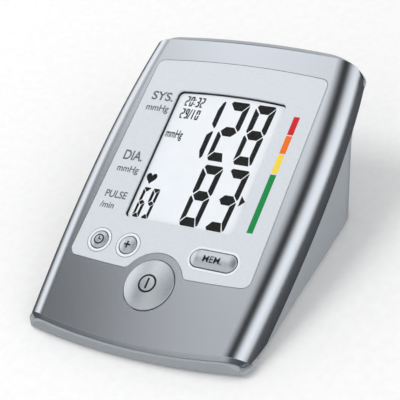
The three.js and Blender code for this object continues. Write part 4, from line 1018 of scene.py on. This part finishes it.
# %% Housing: trim of the rim and the lip
RIM_IN = 2.55
LIP_LEVEL, LIP_HALF, LIP_FRONT, LIP_CURVE, LIP_CORNER = 3.35, 53.85, -71.3, 5.48, 2.5
rim_line = [(COVER_HALF - RIM_IN - side_bow((y - 5) / 138), y) for y in range(7, 138, 5)]
for side in (-1, 1):
    outline = [(side * x, y) for x, y in rim_line + [(60, 137), (60, 7)]]
    carve(housing, set_on_face(plate("side_trim", outline if side > 0 else outline[::-1], -11.2, 12)))
    carve(housing, block("front_side", sorted((51.4 * side, 60 * side)), (-80, -50), (LIP_LEVEL, 20)))
carve(housing, set_on_face(plan_plate("rim_plan", -0.45, 1.9, 5.0, -200, 30)), "INTERSECT")
lip_cutter = set_on_face(carve(behind_front("lip_cutter", 0.1, -17, 12), smaller_form(CHAMFER + 0.25)))
carve(lip_cutter, block("below", (-80, 80), (-90, 0), (-20, LIP_LEVEL)))
carve(housing, lip_cutter)
bpy.data.objects.remove(closed_form)
front_line = [(x, LIP_FRONT + LIP_CURVE * (x / COVER_HALF) ** 2) for x in range(-50, 51, 5)]
corner_middle = (LIP_HALF - LIP_CORNER, front_line[-1][1] + LIP_CORNER)
right_corner = arc(corner_middle, LIP_CORNER, -80, 0, 8)
left_corner = [(-x, y) for x, y in reversed(right_corner)]
far_corners = [(60, -30), (60, 80), (-60, 80), (-60, -30)]
plan = plate("plan", left_corner + front_line + right_corner + far_corners, 0.97, 60)
work_on(plan)
pick(plan, "EDGE", lambda p, e: p.z < 1 and p.y < -50 and abs(p.x) < 54)
bpy.ops.mesh.bevel(offset=0.75 * MM, segments=2, affect="EDGES")
carve(housing, plan, "INTERSECT")
smooth(housing, 28)
finished(housing, housing_plastic, "case", ["lower_housing"])

# %% [markdown]
# On a moulded case the rear wall runs up to the rim without a break. The solid leaves a slot three
# millimetres high there, so a strip of the same plastic closes it. It is a bowed plate whose upper edge
# leans back to meet the rim.

# %% Housing: strip under the rear rim
STRIP_HALF, STRIP_WALL = 46.4, 1.6
columns = [-STRIP_HALF + 2 * STRIP_HALF * i / 16 for i in range(17)]
low_edge = [(x, 66.4 - 0.00015 * x * x) for x in columns]
strip = plate("rear_wall_strip", low_edge[::-1] + [(x, y - STRIP_WALL) for x, y in low_edge], 40.7, 44.7)
work_on(strip)
for column in columns:
    pick(strip, "VERT", lambda p, v: p.z > 44 and abs(p.x - column) < 0.1)
    bpy.ops.transform.translate(value=(0, (1.35 - 0.0009 * column * column) * MM, 0))
finished(smooth(strip, 28), housing_plastic, "case")

# %% [markdown]
# The battery door, the cuff's socket and the jack of the mains adapter come from their solids too. Their
# edges are broken by a tenth of a millimetre, which catches the light as on a moulded part.

# %% Door and sockets
for name, source, material, body in (
        ("door_plate", "battery_door", housing_plastic, "battery_door"),
        ("air_socket", "cuff_socket", parts_materials["black_plastic"], "case"),
        ("power_jack", "dc_jack", parts_materials["black_plastic"], "case")):
    piece = round_edges(from_cad(name, source), 0.12, 2, 50)
    finished(smooth(piece, 35), material, body, [source])

# %% [markdown]
# Each foot is a rubber pad with a rounded edge and a shallow dish, so that it grips the table with its rim.

# %% Feet
FOOT_RADIUS, FOOT_HEIGHT, FOOT_EDGE = 4.5, 1.9, 0.5
foot_profile = [(0, 0.25), (3.4, 0.25), (3.7, 0.0)]
foot_profile += arc((FOOT_RADIUS - FOOT_EDGE, FOOT_EDGE), FOOT_EDGE, -90, 0, 5)
foot_profile += [(FOOT_RADIUS, FOOT_HEIGHT), (0, FOOT_HEIGHT)]
first_foot = turned("rubber_foot", foot_profile, steps=48)
for corner_name in ("front_left", "front_right", "rear_left", "rear_right"):
    source = "foot_" + corner_name
    box = [frame["nodes"][source].matrix_world @ Vector(c) for c in frame["nodes"][source].bound_box]
    middle = sum(box, Vector()) / 8
    foot = copy_of(first_foot, "rubber_" + source)
    work_on(foot)
    bpy.ops.mesh.select_all(action="SELECT")
    bpy.ops.transform.translate(value=(middle.x, middle.y, 0))
    finished(smooth(foot, 40), parts_materials["dark_rubber"], "case", [source])
bpy.data.objects.remove(first_foot)

# %% [markdown]
# A sheet of pale card runs far beyond the picture. It carries the shadow.

# %% Floor
deselect()
bpy.ops.mesh.primitive_plane_add(size=6)
floor = bpy.context.object
floor.name = "studio_floor"
floor_card, tree, shader = new_material("pale_studio_card", Roughness=0.9)
speckled(tree, shader, "#f3f3f3", "#f6f6f6", grain_mm=4.0)
floor.data.materials.append(floor_card)

# %% [markdown]
# The camera stands where the photo's stood: to the right of the monitor and above it, turned a little about
# its line of sight. A long lens keeps the edges nearly parallel.

# %% Camera
camera_data = bpy.data.cameras.new("photo_camera")
camera = bpy.data.objects.new("photo_camera", camera_data)
bpy.context.scene.collection.objects.link(camera)
bpy.context.scene.camera = camera
right = Vector((0.84041, 0.47837, -0.25468))
upward = Vector((-0.14809, 0.65477, 0.74117))
backward = Vector((0.52132, -0.58518, 0.62113))
place = Matrix((right, upward, backward)).transposed().to_4x4()
place.translation = Vector((348.77, -390.446, 438.232)) * MM
camera.matrix_world = place
camera_data.sensor_width = 36
camera_data.lens = 144
camera_data.clip_end = 20
bpy.context.scene.view_settings.view_transform = "Standard"
print("camera", round(camera.location.length / MM), "mm from the middle of the table")

# %% [markdown]
# Silver paint shows the room more than its own colour, so photographers put such a thing in a tent of white
# cloth that is lit from outside, with dark strips hung where the paint should show a dark line. The tent
# here is half a sphere of glowing cloth. One ramp gives its brightness from left to right for the front
# half, another for the rear half: bright at both sides, a dark strip overhead to the right that draws the
# line along the rolled edge, and a bright patch at the rear left that gives the face its gradient. Two more
# ramps say where the cloth is a plain grey: dim along its hem, and half bright at the front and rear walls,
# which lie over all else. The camera looks through the cloth.

# %% Light tent
deselect()
bpy.ops.mesh.primitive_uv_sphere_add(segments=48, ring_count=24, radius=2.5)
tent = bpy.context.object
tent.name = "light_tent"
work_on(tent)
bpy.ops.mesh.select_all(action="SELECT")
bpy.ops.mesh.bisect(plane_co=(0, 0, -0.01), plane_no=(0, 0, 1), clear_inner=True)
deselect()
tent.visible_camera = False
tent_cloth, tree, shader = new_material("glowing_tent_cloth", Roughness=1.0)
RAMP_TOP, CLOTH_LIGHT, WALL_LEVEL, HEM_LEVEL = 2.4, 0.7, 1.15, 0.3


def cloth_ramp(lean, stops):
    """Brightness by how far a direction leans, from -1 to 1."""
    place = node(tree, "ShaderNodeMapRange", "Result", {"Value": lean, "From Min": -1.0})
    ramp = node(tree, "ShaderNodeValToRGB", sockets={"Fac": place})
    elements = ramp.color_ramp.elements
    for share, _ in stops[1:-1]:
        elements.new((share + 1) / 2)
    for element, (_, level) in zip(elements, stops):
        element.color = (level / RAMP_TOP, level / RAMP_TOP, level / RAMP_TOP, 1)
    return ramp.outputs["Color"]


def blend(share, first, second):
    """Mixes two colours by a share. Either may be a plain grey level."""
    mix = node(tree, "ShaderNodeMix", data_type="RGBA")
    tree.links.new(share, mix.inputs["Factor"])
    # Inputs 6 and 7 and output 2 are the colour sockets; the others with the same names take numbers.
    for socket, colour in ((mix.inputs[6], first), (mix.inputs[7], second)):
        if isinstance(colour, bpy.types.NodeSocket):
            tree.links.new(colour, socket)
        else:
            socket.default_value = (colour, colour, colour, 1)
    return mix.outputs[2]


lean = node(tree, "ShaderNodeVectorMath", "Vector", {0: node(tree, "ShaderNodeTexCoord", "Object")},
            operation="NORMALIZE")
direction = node(tree, "ShaderNodeSeparateXYZ", sockets={"Vector": lean})
left_wall = [(-1.0, 1.2), (-0.92, 2.0), (-0.82, 2.2)]
right_side = [(-0.17, 0.72), (0.0, 0.28), (0.14, 0.04), (0.38, 0.05), (0.5, 0.5), (0.72, 1.9), (0.88, 2.2),
              (1.0, 1.4)]
front = cloth_ramp(direction.outputs["X"], left_wall + [
    (-0.74, 1.2), (-0.68, 0.1), (-0.58, 0.12), (-0.56, 0.4), (-0.53, 0.98), (-0.5, 1.2), (-0.4, 1.15),
] + right_side)
rear = cloth_ramp(direction.outputs["X"], left_wall + [
    (-0.76, 1.9), (-0.68, 0.9), (-0.61, 1.1), (-0.55, 1.7), (-0.51, 2.4), (-0.47, 2.0), (-0.4, 1.6),
] + right_side)
to_rear = node(tree, "ShaderNodeMapRange", "Result",
               {"Value": direction.outputs["Y"], "From Min": 0.01, "From Max": 0.18})
hem = cloth_ramp(direction.outputs["Z"], [
    (-1.0, RAMP_TOP), (0.0, RAMP_TOP), (0.12, 0.8), (0.22, 0.0), (1.0, 0.0)])
walls = cloth_ramp(direction.outputs["Y"], [
    (-1.0, RAMP_TOP), (-0.45, RAMP_TOP), (-0.25, 0.0), (0.6, 0.0), (0.8, RAMP_TOP), (1.0, RAMP_TOP)])
glow = blend(to_rear, front, rear)
glow = blend(hem, glow, HEM_LEVEL / RAMP_TOP)
glow = blend(walls, glow, WALL_LEVEL / RAMP_TOP)
tree.links.new(glow, shader.inputs["Emission Color"])
shader.inputs["Emission Strength"].default_value = RAMP_TOP * CLOTH_LIGHT
shader.inputs["Base Color"].default_value = (0, 0, 0, 1)
tent.data.materials.append(tent_cloth)

# %% [markdown]
# Round the monitor lies a sheet of dark card that only mirror-like reflections see. It gives the rolled
# edges their thin dark outlines, as black card does beside a bottle or a spoon.

# %% Dark card
deselect()
bpy.ops.mesh.primitive_plane_add(size=1.6, location=(0, 0, 0.0003))
card = bpy.context.object
card.name = "dark_reflection_card"
bpy.ops.object.transform_apply(location=True, rotation=True, scale=True)
card.visible_camera = card.visible_diffuse = card.visible_shadow = card.visible_transmission = False
card_black, tree, shader = new_material("dark_card", Roughness=0.9)
speckled(tree, shader, "#4a4c4f", "#505255", grain_mm=3.0)
card.data.materials.append(card_black)

# %% [markdown]
# Behind it all the world is plain white, which the camera sees past the edge of the floor.

# %% White beyond the floor
world = bpy.data.worlds.new("plain_white_world")
bpy.context.scene.world = world
world.use_nodes = True
world.node_tree.nodes["Background"].inputs["Color"].default_value = (1, 1, 1, 1)
world.node_tree.nodes["Background"].inputs["Strength"].default_value = 1.0

# %% [markdown]
# A large lamp at the left gives the soft shadow to the right, and a weaker one at the right lightens it.
# Both are left out of the mirror-like reflections, which belong to the tent.

# %% Lamps
def softbox(name, aim, distance, size, power):
    """A square lamp in a direction from the monitor, looking at it."""
    lamp_data = bpy.data.lights.new(name, "AREA")
    lamp_data.shape = "RECTANGLE"
    lamp_data.size = lamp_data.size_y = size
    lamp_data.energy = power
    lamp = bpy.data.objects.new(name, lamp_data)
    bpy.context.scene.collection.objects.link(lamp)
    monitor = Vector((0, 0, 0.02))
    lamp.location = monitor + Vector(aim).normalized() * distance
    lamp.rotation_euler = (lamp.location - monitor).to_track_quat("Z", "Y").to_euler()
    lamp.visible_camera = lamp.visible_glossy = False


softbox("left_key_lamp", (-0.5, 0.03, 0.95), 1.2, 0.6, 5)
softbox("right_fill_lamp", (0.85, -0.45, 0.45), 1.3, 0.8, 3.5)
